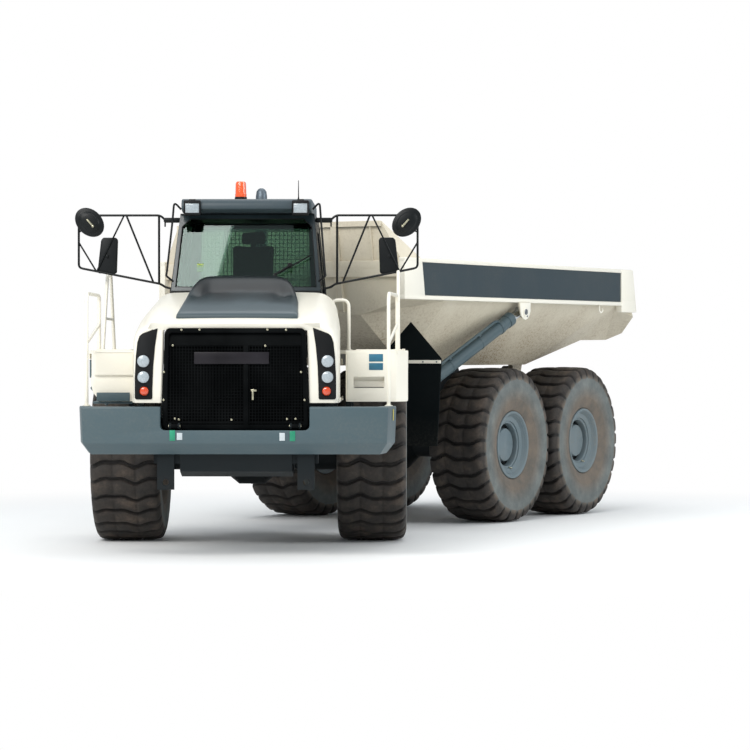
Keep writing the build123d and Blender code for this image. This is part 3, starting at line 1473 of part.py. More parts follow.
def dump_sides(floor):
    side = side_half()
    foot = HOIST_HEAD
    # Bracket of the hoist head: a plate each side of the rod's eye
    plates = []
    for start in (foot[0] - HOIST_PLATE_IN - 14, foot[0] + HOIST_PLATE_OUT):
        plate = side_plate(
            [
                (foot[1] - 150, RAIL_LINE_Z),
                (foot[1] - 100, foot[2] - 20),
                (foot[1] - 60, foot[2] - 75),
                (foot[1] + 60, foot[2] - 75),
                (foot[1] + 100, foot[2] - 20),
                (foot[1] + 180, RAIL_LINE_Z),
            ],
            start,
            start + 14,
        )
        plates.append(plate)
    boss = bar(
        (foot[0] + HOIST_PLATE_OUT, foot[1], foot[2]),
        (foot[0] + HOIST_PLATE_OUT + 24, foot[1], foot[2]),
        48,
    )
    bracket = plates[0] + (plates[1] + boss)
    slope = (SIDE_TOP_HALF - FLOOR_HALF) / (RAIL_LINE_Z - FLOOR_Z)
    inside = front_plate(
        [
            (FLOOR_HALF, FLOOR_Z),
            (FLOOR_HALF + slope * 1200, FLOOR_Z + 1200),
            (FLOOR_HALF, FLOOR_Z + 1200),
        ],
        foot[1] - 400,
        foot[1] + 400,
    )
    bracket = bracket - inside
    return both(side + bracket) - floor


def dump_headboard(floor, sides):
    z_points = [
        (-FLOOR_HALF, FRONT_FLOOR_Z),
        (FLOOR_HALF, FRONT_FLOOR_Z),
        (SIDE_TOP_HALF, RAIL_LINE_Z),
        (SIDE_TOP_HALF, BODY_RAIL_TOP),
        (HEADBOARD_TOP_HALF, HEADBOARD_TOP),
        (-HEADBOARD_TOP_HALF, HEADBOARD_TOP),
        (-SIDE_TOP_HALF, BODY_RAIL_TOP),
        (-SIDE_TOP_HALF, RAIL_LINE_Z),
    ]
    plate = facet([(u, headboard_v(z), z) for u, z in z_points], (0, -TUB_WALL, 0))
    top_v = headboard_v(HEADBOARD_TOP)
    rim_half = HEADBOARD_TOP_HALF
    rim_bar = block(-rim_half, rim_half, top_v - 50, top_v, HEADBOARD_TOP - 60, HEADBOARD_TOP)
    pieces = [plate, rim_bar]
    low_v = headboard_v(FRONT_FLOOR_Z)
    for u in (-HEADBOARD_RIB_U, HEADBOARD_RIB_U):
        outline = [
            (low_v - TUB_WALL, FRONT_FLOOR_Z + 20),
            (top_v - TUB_WALL, HEADBOARD_TOP - 20),
            (top_v - 50, HEADBOARD_TOP - 40),
            (low_v - 60, FRONT_FLOOR_Z + 60),
        ]
        pieces.append(side_plate(outline, u - 35, u + 35))
    band_low, band_high = HEADBOARD_BAND
    band_v = headboard_v((band_low + band_high) / 2)
    pieces.append(block(-SIDE_TOP_HALF, SIDE_TOP_HALF, band_v - 50, band_v - TUB_WALL, band_low, band_high))
    wing = [
        (HEADBOARD_TOP_HALF, top_v, HEADBOARD_TOP),
        (SIDE_TOP_HALF, headboard_v(BODY_RAIL_TOP), BODY_RAIL_TOP),
        (BODY_HALF - 30, STRIPE_FRONT, BODY_RAIL_TOP),
    ]
    pieces.append(both(facet(wing, (-TUB_WALL, -TUB_WALL * 0.6, 0))))
    return joined(pieces) - floor - sides


def body_rails(others):
    """The deep side rail with its flanges and the post at its rear end."""
    end = BODY_RAIL_REAR - 20
    web = block(SIDE_TOP_HALF, BODY_HALF - RAIL_WEB_IN, BODY_RAIL_FRONT, end, RAIL_LINE_Z, BODY_RAIL_TOP)
    flange_low = BODY_RAIL_TOP - RAIL_FLANGE + 5
    top = block(SIDE_TOP_HALF, BODY_HALF, BODY_RAIL_FRONT, end, flange_low, BODY_RAIL_TOP)
    foot = block(SIDE_TOP_HALF, BODY_HALF, BODY_RAIL_FRONT, end, RAIL_LINE_Z, RAIL_LINE_Z + RAIL_FLANGE)
    post = side_plate(
        [
            (STRIPE_REAR, POST_BOTTOM),
            (BODY_RAIL_REAR + 110, POST_BOTTOM),
            (BODY_RAIL_REAR, BODY_RAIL_TOP - 5),
            (STRIPE_REAR, BODY_RAIL_TOP - 5),
        ],
        SIDE_TOP_HALF,
        BODY_HALF + 6,
    )
    shape = both(web + top + foot + post)
    for other in others:
        shape = shape - other
    return Compound(children=list(shape.solids()))


def side_stripes():
    web = BODY_HALF - RAIL_WEB_IN
    low = RAIL_LINE_Z + RAIL_FLANGE + 2
    high = BODY_RAIL_TOP - RAIL_FLANGE + 4
    stripe = block(web, web + STRIPE_THICK, STRIPE_FRONT, STRIPE_REAR, low, high)
    return Compound(children=[s for shape in (stripe, mirrored(stripe)) for s in shape.solids()])


# The whole truck
def wheel_places():
    """Each wheel's name, its place and which frame it is on."""
    places = []
    for side, word in ((1, "left"), (-1, "right")):
        places.append(("front_" + word, side, 0.0, False))
        places.append(("mid_" + word, side, HITCH_TO_MID_AXLE, True))
        places.append(("rear_" + word, side, HITCH_TO_MID_AXLE + BOGIE_SPACING, True))
    return places


def build():
    """Every node by its name: those of the front frame, and those of the rear one, still straight."""
    front = {
        "front_chassis": front_chassis() + hood_hinges(),
        "front_bumper": front_bumper(),
        "belly_guard": belly_guard(),
        "front_axle": front_axle(),
        "engine_block": engine_block(),
        "cab_roof": cab_roof(),
        "seat": seat(),
        "console": console(),
        "fender_left": fender_deck(1),
        "fender_right": fender_deck(-1),
        "handrails": handrails(),
        "mirrors": mirrors(),
        "roof_lamps": roof_lamps(),
        "exhaust_stack": exhaust_stack(),
        "hood": hood(),
        "hood_scoop": hood_scoop(),
        "grille": grille(),
        "headlamps": headlamps(),
    }
    wall = cab_wall_solid()
    front["cab_shell"] = cab_shell(wall)
    front["cab_glass"] = cab_glass()
    front["cab_door"] = door_panel(wall)
    front["door_glass"] = door_glass()
    rear = {
        "hitch_yoke": hitch_yoke(),
        "rear_bulkhead": rear_bulkhead(),
        "rear_chassis": rear_chassis(),
        "bogie_axles": bogie_axles(),
        "equaliser_beams": equaliser_beams(),
        "mud_flaps": mud_flaps(),
        "tail_lamps": tail_lamps(),
        "side_stripes": side_stripes(),
    }
    rear["dump_floor"] = dump_floor()
    rear["dump_sides"] = dump_sides(rear["dump_floor"])
    rear["dump_headboard"] = dump_headboard(rear["dump_floor"], rear["dump_sides"])
    rear["body_rails"] = body_rails([rear["dump_sides"], rear["dump_headboard"]])
    one_tyre = tyre()
    one_rim = rim()
    for name, side, v, on_rear in wheel_places():
        turn = Rot(0, 0, 0 if side > 0 else 180)
        place = Pos(side * TRACK / 2, v, TYRE_RADIUS) * turn
        target = rear if on_rear else front
        target["tyre_" + name] = place * one_tyre
        target["rim_" + name] = place * one_rim
    hoist = (HOIST_BARREL_RADIUS, HOIST_ROD_RADIUS, HOIST_EYE_RADIUS, HOIST_EYE_WIDTH, 0, HOIST_HEAD_CLEAR)
    barrel, rod = ram(HOIST_FOOT, HOIST_HEAD, (1, 0, 0), hoist, 0.0, HOIST_BALL_RADIUS)
    rear["hoist_barrel_left"] = barrel
    rear["hoist_rod_left"] = rod
    rear["hoist_barrel_right"] = mirrored(barrel)
    rear["hoist_rod_right"] = mirrored(rod)
    steer = (
        STEER_BARREL_RADIUS,
        STEER_ROD_RADIUS,
        STEER_EYE_RADIUS,
        STEER_EYE_WIDTH,
        STEER_PIN_RADIUS,
        STEER_HEAD_CLEAR,
    )
    for side, word in ((1, "left"), (-1, "right")):
        ear_x, ear_y = swung(side * STEER_EAR, 0)
        foot = (side * STEER_FOOT[0], STEER_FOOT[1], STEER_Z)
        length, _ = steer_length(side, STEER_AT_REST)
        shortest = min(steer_length(side, a)[0] for a in (-STEER_LIMIT, STEER_LIMIT))
        closed_by = length - shortest + STEER_SLACK
        barrel, rod = ram(foot, (ear_x, ear_y, STEER_Z), (0, 0, 1), steer, closed_by)
        front["steer_barrel_" + word] = barrel
        front["steer_rod_" + word] = rod
    return front, rear


def main():
    os.makedirs("parts", exist_ok=True)
    front, rear = build()
    swing = Pos(0, AXLE_TO_HITCH, 0) * Rot(0, 0, -STEER_AT_REST)
    nodes = dict(front)
    for name, shape in rear.items():
        nodes[name] = swing * shape
    boxes = [shape.bounding_box() for shape in nodes.values()]
    mid_x = (min(b.min.X for b in boxes) + max(b.max.X for b in boxes)) / 2
    mid_y = (min(b.min.Y for b in boxes) + max(b.max.Y for b in boxes)) / 2
    low_z = min(b.min.Z for b in boxes)
    shift = Pos(-mid_x, -mid_y, -low_z)
    print("shift", -mid_x, -mid_y, -low_z)
    for name, shape in nodes.items():
        export_step(shift * shape, "parts/" + name + ".step")


main()
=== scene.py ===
import json
import math

import bmesh
import bpy
from mathutils import Matrix, Vector


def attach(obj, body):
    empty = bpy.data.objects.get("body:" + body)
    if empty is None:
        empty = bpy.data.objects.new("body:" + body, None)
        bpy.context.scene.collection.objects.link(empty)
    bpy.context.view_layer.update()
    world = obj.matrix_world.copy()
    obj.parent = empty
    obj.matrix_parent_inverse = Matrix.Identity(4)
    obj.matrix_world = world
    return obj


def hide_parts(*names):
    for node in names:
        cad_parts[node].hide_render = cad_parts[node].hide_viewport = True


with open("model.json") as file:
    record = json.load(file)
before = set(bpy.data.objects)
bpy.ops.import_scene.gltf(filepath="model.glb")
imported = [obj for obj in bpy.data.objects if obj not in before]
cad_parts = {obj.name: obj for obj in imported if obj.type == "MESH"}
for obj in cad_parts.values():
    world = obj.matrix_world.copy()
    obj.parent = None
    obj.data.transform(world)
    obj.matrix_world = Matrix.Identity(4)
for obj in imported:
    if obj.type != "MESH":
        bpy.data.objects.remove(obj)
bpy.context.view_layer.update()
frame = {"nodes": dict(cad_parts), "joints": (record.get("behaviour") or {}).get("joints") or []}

bl_info = {
    "name": "Articulated Dump Truck",
    "version": (1, 0, 0),
    "blender": (4, 5, 0),
    "location": "View3D > Sidebar > Dump Truck",
    "description": "Dresses the packed truck with its tyres, hood, cab details, load body and paint",
    "category": "Add Mesh",
}

# Places in metres. Front pieces are drawn from the floor under the middle of the front axle, with the
# truck facing -Y. Rear pieces are drawn from the hitch, straight behind it, and are then swung into place.
JOINTS = {joint["name"]: joint for joint in frame["joints"]}
HITCH_BEHIND_AXLE = 1.328
HITCH = Vector(JOINTS["steer"]["pos_m"])
FRONT_PLACE = Matrix.Translation((HITCH.x, HITCH.y - HITCH_BEHIND_AXLE, 0))
BACKWARDS = Vector(JOINTS["oscillate"]["axis"])
SWING = -math.atan2(BACKWARDS.x, BACKWARDS.y)
REAR_PLACE = Matrix.Translation((HITCH.x, HITCH.y, 0)) @ Matrix.Rotation(SWING, 4, "Z")
FRONT_BODIES = ("front_frame", "hood_body", "door_body", "wheel_front_left", "wheel_front_right")
MIRROR = Matrix.Scale(-1, 4, (1, 0, 0))
ORIGIN = (0, 0, 0)
SIDEWAYS = (1, 0, 0)
FORWARDS = (0, -1, 0)
UPWARDS = (0, 0, 1)

TRACK_HALF = 1.3235
AXLE_HEIGHT = 0.935
MID_AXLE = 3.151
REAR_AXLE = 5.085
WHEELS = [
    # name, side, distance behind its place
    ("front_left", 1, 0.0),
    ("front_right", -1, 0.0),
    ("mid_left", 1, MID_AXLE),
    ("mid_right", -1, MID_AXLE),
    ("rear_left", 1, REAR_AXLE),
    ("rear_right", -1, REAR_AXLE),
]


# Sizes and colours that can be changed
class TruckSizes(bpy.types.PropertyGroup):
    """Sizes of the dressed pieces."""

    lugs: bpy.props.IntProperty(
        name="Tread rows", description="Rows of lugs round a tyre", default=30, min=20, max=40
    )
    lug_depth: bpy.props.FloatProperty(
        name="Lug depth", description="Depth of the grooves", default=0.04, unit="LENGTH"
    )
    groove: bpy.props.FloatProperty(
        name="Groove width", description="Width of the cross grooves", default=0.056, unit="LENGTH"
    )
    mesh_pitch: bpy.props.FloatProperty(
        name="Grille pitch", description="Spacing of the grille's wires", default=0.03, unit="LENGTH"
    )
    wire: bpy.props.FloatProperty(
        name="Wire width", description="Width of a grille wire", default=0.009, unit="LENGTH"
    )


def hue(code):
    """An sRGB hex colour as linear red, green, blue, alpha. A colour that is linear already stays."""
    if not isinstance(code, str):
        return tuple(code)
    values = []
    for start in (1, 3, 5):
        part = int(code[start:start + 2], 16) / 255
        values.append(part / 12.92 if part <= 0.04045 else ((part + 0.055) / 1.055) ** 2.4)
    return (*values, 1.0)


def scaled(colour, share, lift=0.0):
    """A colour made lighter or darker."""
    return (*(min(1.0, channel * share + lift) for channel in colour[:3]), 1.0)


def tint(name, description, code):
    return bpy.props.FloatVectorProperty(
        name=name, description=description, subtype="COLOR", size=4, min=0, max=1, default=hue(code)
    )


class TruckColours(bpy.types.PropertyGroup):
    """Base colours of the finishes."""

    cream: tint("Cream", "Enamel of the hood, fenders and load body", "#EFEADC")
    slate: tint("Slate", "Enamel of the bumper", "#47585E")
    chassis: tint("Chassis", "Enamel of the frames and axles", "#12191C")
    stripe: tint("Stripe", "Band along the load body", "#25343B")
    tread: tint("Tread", "Dusty rubber of the tread", "#332D28")
    sidewall: tint("Sidewall", "Rubber of the sidewalls", "#686D6B")
    wheel: tint("Wheel", "Enamel of the rims", "#66757B")


def sizes():
    return bpy.context.scene.truck_sizes


def colours():
    return bpy.context.scene.truck_colours


# Nodes
def feed(tree, node, links=None, values=None):
    """Links other nodes' outputs to inputs of a node and sets the values of other inputs."""
    for key, (source, output) in (links or {}).items():
        tree.links.new(source.outputs[output], node.inputs[key])
    for key, value in (values or {}).items():
        node.inputs[key].default_value = value
    return node


def add_node(tree, kind, settings=None, links=None):
    """Adds a node, sets its properties and input values, and links its inputs to other nodes' outputs."""
    node = tree.nodes.new(kind)
    for key, value in (settings or {}).items():
        if isinstance(key, int) or key in node.inputs:
            node.inputs[key].default_value = value
        else:
            setattr(node, key, value)
    return feed(tree, node, links)


def ramp(tree, source, output, stops):
    """A colour ramp over a value, from a list of position and colour."""
    node = add_node(tree, "ShaderNodeValToRGB", links={"Fac": (source, output)})
    elements = node.color_ramp.elements
    elements[0].position, elements[0].color = stops[0]
    elements[1].position, elements[1].color = stops[-1]
    for position, shade in stops[1:-1]:
        elements.new(position).color = shade
    return node


def noise(tree, coordinates, scale, detail, roughness=0.5):
    """Noise in the object's own space, so many grains to a metre."""
    settings = {"Scale": scale, "Detail": detail, "Roughness": roughness}
    return add_node(tree, "ShaderNodeTexNoise", settings, {"Vector": (coordinates, "Object")})


def maths(tree, operation, first, second, clamp=False):
    """One sum of an output with another output or a number."""
    node = add_node(tree, "ShaderNodeMath", {"operation": operation, "use_clamp": clamp}, {0: first})
    if isinstance(second, float):
        return feed(tree, node, values={1: second})
    return feed(tree, node, {1: second})


def spread(tree, source, output, low, high, start=0.0, end=1.0):
    """A value carried over from one range to another."""
    settings = {"From Min": start, "From Max": end, "To Min": low, "To Max": high}
    return add_node(tree, "ShaderNodeMapRange", settings, {"Value": (source, output)})


def blended(tree, share, first, second):
    """A mix of two colours, each of them the output of a node."""
    return add_node(tree, "ShaderNodeMix", {"data_type": "RGBA"}, {0: share, 6: first, 7: second})


def bumped(tree, source, output, strength, distance):
    settings = {"Strength": strength, "Distance": distance}
    return add_node(tree, "ShaderNodeBump", settings, {"Height": (source, output)})


def start_material(name):
    material = bpy.data.materials.new(name)
    material.use_nodes = True
    tree = material.node_tree
    tree.nodes.clear()
    coordinates = add_node(tree, "ShaderNodeTexCoord")
    shader = add_node(tree, "ShaderNodeBsdfPrincipled")
    output = add_node(tree, "ShaderNodeOutputMaterial", links={"Surface": (shader, "BSDF")})
    output.is_active_output = True
    return material, tree, coordinates, shader


def surfaced(tree, source, output):
    """Sends a shader to the material's output in place of the plain one."""
    end = next(node for node in tree.nodes if node.type == "OUTPUT_MATERIAL")
    feed(tree, end, {"Surface": (source, output)})


def enamel(name, base, dust, amount, roughness, low=0.0, high=0.0, coat=0.0, sheen=0.5):
    """Sprayed enamel on steel sheet: an even colour with faint orange peel, a film of dry dust that
    breaks up in cloudy patches, and more dust towards the ground between the two heights."""
    material, tree, coordinates, shader = start_material(name)
    clouds = noise(tree, coordinates, 1.7, 6.0, 0.62)
    specks = noise(tree, coordinates, 38.0, 4.0, 0.7)
    patch = ramp(tree, clouds, "Fac", [(0.38, (0, 0, 0, 1)), (0.72, (1, 1, 1, 1))])
    fine = ramp(tree, specks, "Fac", [(0.45, (0.25, 0.25, 0.25, 1)), (0.7, (1, 1, 1, 1))])
    film = maths(tree, "MULTIPLY", (patch, "Color"), (fine, "Color"))
    cover = maths(tree, "MULTIPLY", (film, "Value"), amount)
    if high > low:
        place = add_node(tree, "ShaderNodeSeparateXYZ", links={"Vector": (coordinates, "Object")})
        fade = spread(tree, place, "Z", 0.75, 0.0, low, high)
        broken = maths(tree, "MULTIPLY", (fade, "Result"), (fine, "Color"))
        cover = maths(tree, "ADD", (cover, "Value"), (broken, "Value"), clamp=True)
    coloured = add_node(
        tree, "ShaderNodeMix", {"data_type": "RGBA", 6: hue(base), 7: hue(dust)}, {0: (cover, "Value")}
    )
    rough = spread(tree, cover, "Value", roughness, 0.9)
    peel = noise(tree, coordinates, 160.0, 2.0)
    bump = bumped(tree, peel, "Fac", 0.05, 0.002)
    links = {"Base Color": (coloured, 2), "Roughness": (rough, "Result"), "Normal": (bump, "Normal")}
    feed(tree, shader, links, {"Specular IOR Level": sheen, "Coat Weight": coat, "Coat Roughness": 0.2})
    return material


def plastic(name, base, roughness, grain, depth, sheen=0.5):
    """Moulded plastic or coated wire: one colour through, with the fine grain of its mould."""
    material, tree, coordinates, shader = start_material(name)
    base = hue(base)
    grains = noise(tree, coordinates, grain, 3.0)
    clouds = noise(tree, coordinates, 3.0, 5.0)
    tone = ramp(tree, clouds, "Fac", [(0.35, scaled(base, 0.8)), (0.7, scaled(base, 1.25, 0.004))])
    rough = spread(tree, clouds, "Fac", roughness * 0.85, min(1.0, roughness * 1.2))
    bump = bumped(tree, grains, "Fac", depth, 0.002)
    links = {"Base Color": (tone, "Color"), "Roughness": (rough, "Result"), "Normal": (bump, "Normal")}
    feed(tree, shader, links, {"Specular IOR Level": sheen})
    return material


def moulded_bulge_painted_reflection():
    """Glass-reinforced plastic, grey right through. The grey is painted lighter on its front lip and darker
    towards its crown, as painted reflection and shade."""
    material, tree, coordinates, shader = start_material("moulded_grp_grey")
    place = add_node(tree, "ShaderNodeSeparateXYZ", links={"Vector": (coordinates, "Object")})
    clouds = noise(tree, coordinates, 2.2, 4.0)
    uneven = spread(tree, clouds, "Fac", -0.12, 0.12)
    height = maths(tree, "ADD", (place, "Z"), (uneven, "Result"))
    share = spread(tree, height, "Value", 0.0, 1.0, BULGE_LIP, BULGE_CROWN)
    # Painted reflection and shade: light grey at the lip, near black towards the crown
    stops = [(0.0, hue("#465257")), (0.25, hue("#2B363A")), (0.55, hue("#080D0F")), (1.0, hue("#11191C"))]
    tone = ramp(tree, share, "Result", stops)
    feed(tree, shader, {"Base Color": (tone, "Color")}, {"Roughness": 0.36, "Specular IOR Level": 0.35})
    return material


def metal(name, base, roughness, grain):
    """Bare metal with the faint lines of its machining."""
    material, tree, coordinates, shader = start_material(name)
    base = hue(base)
    lines = noise(tree, coordinates, grain, 2.0)
    tone = ramp(tree, lines, "Fac", [(0.3, base), (0.75, scaled(base, 0.82))])
    rough = spread(tree, lines, "Fac", roughness * 0.8, roughness * 1.3)
    feed(tree, shader, {"Base Color": (tone, "Color"), "Roughness": (rough, "Result")}, {"Metallic": 1.0})
    return material


def tyre_rubber():
    """Vulcanised rubber with dried mud: the tread is brown where it has run in soil, the grooves and the
    edges of the lugs are painted darker as shade, and the sidewalls are grey with a dusty ring round the
    rim."""
    material, tree, coordinates, shader = start_material("vulcanised_rubber_tyre")
    dust_and_groove_shade = add_node(tree, "ShaderNodeAttribute", {"attribute_name": "height"})
    place = add_node(tree, "ShaderNodeAttribute", {"attribute_name": "tread"})
    clouds = noise(tree, coordinates, 5.0, 7.0, 0.65)
    grit = noise(tree, coordinates, 60.0, 5.0, 0.7)
    tones = [
        # sidewall, dusty ring of the sidewall, groove with painted shade, top of the tread
        [(0.32, hue("#565B5A")), (0.55, hue(colours().sidewall)), (0.75, hue("#7C807C"))],
        [(0.35, hue("#5C5750")), (0.7, hue("#76695C"))],
        [(0.35, hue("#0E0C0B")), (0.7, hue("#201B17"))],
        [(0.32, hue("#1F1C1A")), (0.52, hue(colours().tread)), (0.74, hue("#564A40"))],
    ]
    wall, ring, groove, tread = [(ramp(tree, clouds, "Fac", stops), "Color") for stops in tones]
    side = blended(tree, (dust_and_groove_shade, "Fac"), wall, ring)
    crown = blended(tree, (dust_and_groove_shade, "Fac"), groove, tread)
    both = blended(tree, (place, "Fac"), (side, 2), (crown, 2))
    rough = spread(tree, grit, "Fac", 0.62, 0.92)
    bump = bumped(tree, grit, "Fac", 0.35, 0.006)
    feed(
        tree, shader, {"Base Color": (both, 2), "Roughness": (rough, "Result"), "Normal": (bump, "Normal")}
    )
    return material


def tinted_glass():
    """Laminated cab glass with a faint green tint, clear from the front and glossy at a slant."""
    material, tree, _, shader = start_material("laminated_glass_tinted")
    clear = add_node(tree, "ShaderNodeBsdfTransparent", {"Color": hue("#C3D7CD")})
    gloss = add_node(tree, "ShaderNodeBsdfGlossy", {"Roughness": 0.02, "Color": hue("#E8F2F2")})
    edge = add_node(tree, "ShaderNodeFresnel", {"IOR": 1.45})
    shaders = {0: (edge, "Fac"), 1: (clear, "BSDF"), 2: (gloss, "BSDF")}
    tree.nodes.remove(shader)
    surfaced(tree, add_node(tree, "ShaderNodeMixShader", links=shaders), "Shader")
    return material


def lens(name, base, glow):
    """Moulded lens of a lamp with the fine ribs of its optics."""
    material, tree, coordinates, shader = start_material(name)
    base = hue(base)
    ribs = add_node(tree, "ShaderNodeTexVoronoi", {"Scale": 60.0}, {"Vector": (coordinates, "Object")})
    tone = ramp(tree, ribs, "Distance", [(0.0, base), (1.0, scaled(base, 1.3, 0.02))])
    bump = bumped(tree, ribs, "Distance", 0.6, 0.004)
    values = {"Roughness": 0.12, "Coat Weight": 1.0, "Emission Color": base, "Emission Strength": glow}
    feed(tree, shader, {"Base Color": (tone, "Color"), "Normal": (bump, "Normal")}, values)
    return material


def pale_floor():
    """Pale matt floor that takes the truck's shadow and turns into the white backdrop further off."""
    material, tree, coordinates, shader = start_material("studio_floor_pale")
    feed(tree, shader, values={"Base Color": hue("#F6F6F5"), "Roughness": 0.7})
    reach = add_node(tree, "ShaderNodeVectorMath", {"operation": "LENGTH"}, {0: (coordinates, "Object")})
    fade = spread(tree, reach, "Value", 0.0, 1.0, FLOOR_NEAR, FLOOR_FAR)
    fade.interpolation_type = "SMOOTHSTEP"
    rays = add_node(tree, "ShaderNodeLightPath")
    seen = maths(tree, "MULTIPLY", (fade, "Result"), (rays, "Is Camera Ray"))
    white = add_node(tree, "ShaderNodeEmission", {"Color": (1, 1, 1, 1), "Strength": 1.0})
    shaders = {0: (seen, "Value"), 1: (shader, "BSDF"), 2: (white, "Emission")}
    surfaced(tree, add_node(tree, "ShaderNodeMixShader", links=shaders), "Shader")
    return material


FINISHES = {}
MUD = "#8A7357"
DUST = "#B9A88C"
PLASTICS = [
    # key, name, base, roughness, grain, depth, sheen
    ("abs", "moulded_abs_black", "#0B0D0F", 0.5, 260.0, 0.12, 0.2),
    ("grille", "coated_steel_mesh_black", "#020405", 0.6, 300.0, 0.1, 0.05),
    ("cabin", "moulded_cabin_plastic", "#2B3034", 0.6, 300.0, 0.15, 0.5),
    ("fabric", "woven_seat_fabric", "#1E2225", 0.9, 700.0, 0.4, 0.5),
    ("engine", "cast_iron_engine", "#3B4043", 0.7, 120.0, 0.3, 0.5),
    ("guard", "galvanised_wire_dull", "#E3E9E6", 0.6, 120.0, 0.05, 0.5),
    ("blue_label", "printed_label_blue", "#2C6C86", 0.4, 50.0, 0.05, 0.5),
    ("green_label", "printed_label_green", "#1F8F6C", 0.4, 50.0, 0.05, 0.5),
    ("white_label", "printed_label_white", "#C9D2D6", 0.4, 50.0, 0.05, 0.5),
    ("yellow_label", "reflective_tape_yellow", "#D9C52B", 0.35, 50.0, 0.05, 0.5),
    ("badge", "badge_plate_dark", "#1A171C", 0.4, 60.0, 0.03, 0.2),
    ("border", "fired_ceramic_glass_border", "#1C292D", 0.18, 40.0, 0.02, 0.5),
    ("flag", "moulded_indicator_lime", "#9BB31E", 0.4, 50.0, 0.05, 0.5),
]
METALS = [
    # key, name, base, roughness, grain
    ("chrome", "hard_chrome_rod", "#C9CDD1", 0.12, 40.0),
    ("steel", "brushed_steel_grey", "#8B8F93", 0.34, 90.0),
    ("zinc", "zinc_plated_steel", "#B9B49C", 0.35, 120.0),
    ("reflector", "aluminised_reflector", "#E4E8EC", 0.08, 20.0),
    ("mirror", "silvered_mirror", "#DDE3E6", 0.02, 5.0),
    ("stack", "aluminised_steel_dull", "#6E7880", 0.5, 60.0),
]
LENSES = [
    # key, name, base, glow
    ("clear_lens", "polycarbonate_lens_clear", "#969FA4", 0.0),
    ("amber", "polycarbonate_lens_amber", "#C23C06", 0.0),
    ("beacon", "polycarbonate_beacon_amber", "#E65008", 0.2),
    ("red_lens", "polycarbonate_lens_red", "#A01410", 0.05),
]


def make_finishes():
    """Makes each material once."""
    own = colours()
    enamels = [
        # key, name, base, dust, amount, roughness, low, high, coat, sheen
        ("cream", "sprayed_enamel_cream", own.cream, "#E0D6C2", 0.3, 0.32, 0, 0, 0.3, 0.5),
        ("cream_body", "sprayed_enamel_cream_load_body", "#D9D0BC", MUD, 0.45, 0.42, 1.9, 2.6, 0, 0.5),
        # The sides' cream is darker than the load body's as painted shade on the downward-facing sides; the
        # mud towards the ground is dirt
        ("cream_sides", "sprayed_enamel_cream_sides", "#CDC5B1", MUD, 0.6, 0.5, 1.9, 2.7, 0, 0.3),
        ("slate", "sprayed_enamel_slate", own.slate, DUST, 0.08, 0.42, 0, 0, 0, 0.35),
        ("chassis", "sprayed_enamel_chassis", own.chassis, "#3A342C", 0.1, 0.6, 0.2, 0.9, 0, 0.2),
        ("stripe", "sprayed_enamel_stripe", own.stripe, DUST, 0.06, 0.4, 0, 0, 0, 0.4),
        ("wheel", "sprayed_enamel_wheel", own.wheel, "#8D8577", 0.55, 0.45, 0, 0, 0, 0.5),
        ("black", "powder_coat_black", "#0A0E10", "#3A3B38", 0.1, 0.4, 0, 0, 0, 0.25),
        ("roof", "powder_coat_roof", "#3D494F", "#7D7A70", 0.12, 0.42, 0, 0, 0, 0.3),
        ("flap", "rubber_sheet_dusty", "#0A1113", "#3C3B37", 0.1, 0.8, 0.9, 1.35, 0, 0.1),
    ]
    for maker, rows in ((enamel, enamels), (plastic, PLASTICS), (metal, METALS), (lens, LENSES)):
        for key, *row in rows:
            FINISHES[key] = maker(*row)
    FINISHES["scoop"] = moulded_bulge_painted_reflection()
    FINISHES["glass"] = tinted_glass()
    FINISHES["tyre"] = tyre_rubber()


# Modelling helpers
def clear():
    """Leaves edit mode and deselects all."""
    if bpy.context.object and bpy.context.object.mode != "OBJECT":
        bpy.ops.object.mode_set(mode="OBJECT")
    bpy.ops.object.select_all(action="DESELECT")


def take(piece):
    """Selects one object alone."""
    clear()
    piece.select_set(True)
    bpy.context.view_layer.objects.active = piece


def added(name):
    """Names the primitive that was just added and puts its place into its mesh."""
    piece = bpy.context.object
    piece.name = name
    bpy.ops.object.transform_apply(location=True, rotation=True, scale=True)
    return piece


def modify(piece, kind, **settings):
    """Adds a modifier and applies it."""
    take(piece)
    bpy.ops.object.modifier_add(type=kind)
    modifier = piece.modifiers[-1]
    for key, value in settings.items():
        setattr(modifier, key, value)
    bpy.ops.object.modifier_apply(modifier=modifier.name)
    return piece


def rounded(piece, width, segments=2, angle=30):
    """Rounds the edges that are sharper than an angle."""
    if width <= 0:
        return piece
    limit = math.radians(angle)
    return modify(piece, "BEVEL", width=width, segments=segments, limit_method="ANGLE", angle_limit=limit)


def welded(piece, distance, fill=False):
    """Merges the points that meet, closes the open ends if asked, and turns the faces outwards."""
    take(piece)
    bpy.ops.object.mode_set(mode="EDIT")
    bpy.ops.mesh.select_all(action="SELECT")
    bpy.ops.mesh.remove_doubles(threshold=distance)
    if fill:
        bpy.ops.mesh.fill_holes(sides=0)
    bpy.ops.mesh.normals_make_consistent(inside=False)
    bpy.ops.object.mode_set(mode="OBJECT")
    return piece


def boxed(name, low, high, edge=0.006, segments=2):
    """A block between two corners, with rounded edges."""
    clear()
    corners = list(zip(low, high))
    low = Vector([min(ends) for ends in corners])
    high = Vector([max(ends) for ends in corners])
    bpy.ops.mesh.primitive_cube_add(size=1, location=(low + high) / 2, scale=high - low)
    return rounded(added(name), edge, segments)


def rod(name, start, end, radius, edge=0.0, vertices=24):
    """A round bar between two points."""
    clear()
    start, end = Vector(start), Vector(end)
    along = end - start
    bpy.ops.mesh.primitive_cone_add(
        vertices=vertices,
        radius1=radius,
        radius2=radius,
        depth=along.length,
        location=(start + end) / 2,
        rotation=along.to_track_quat("Z", "Y").to_euler(),
    )
    return rounded(added(name), edge, 2, 40)


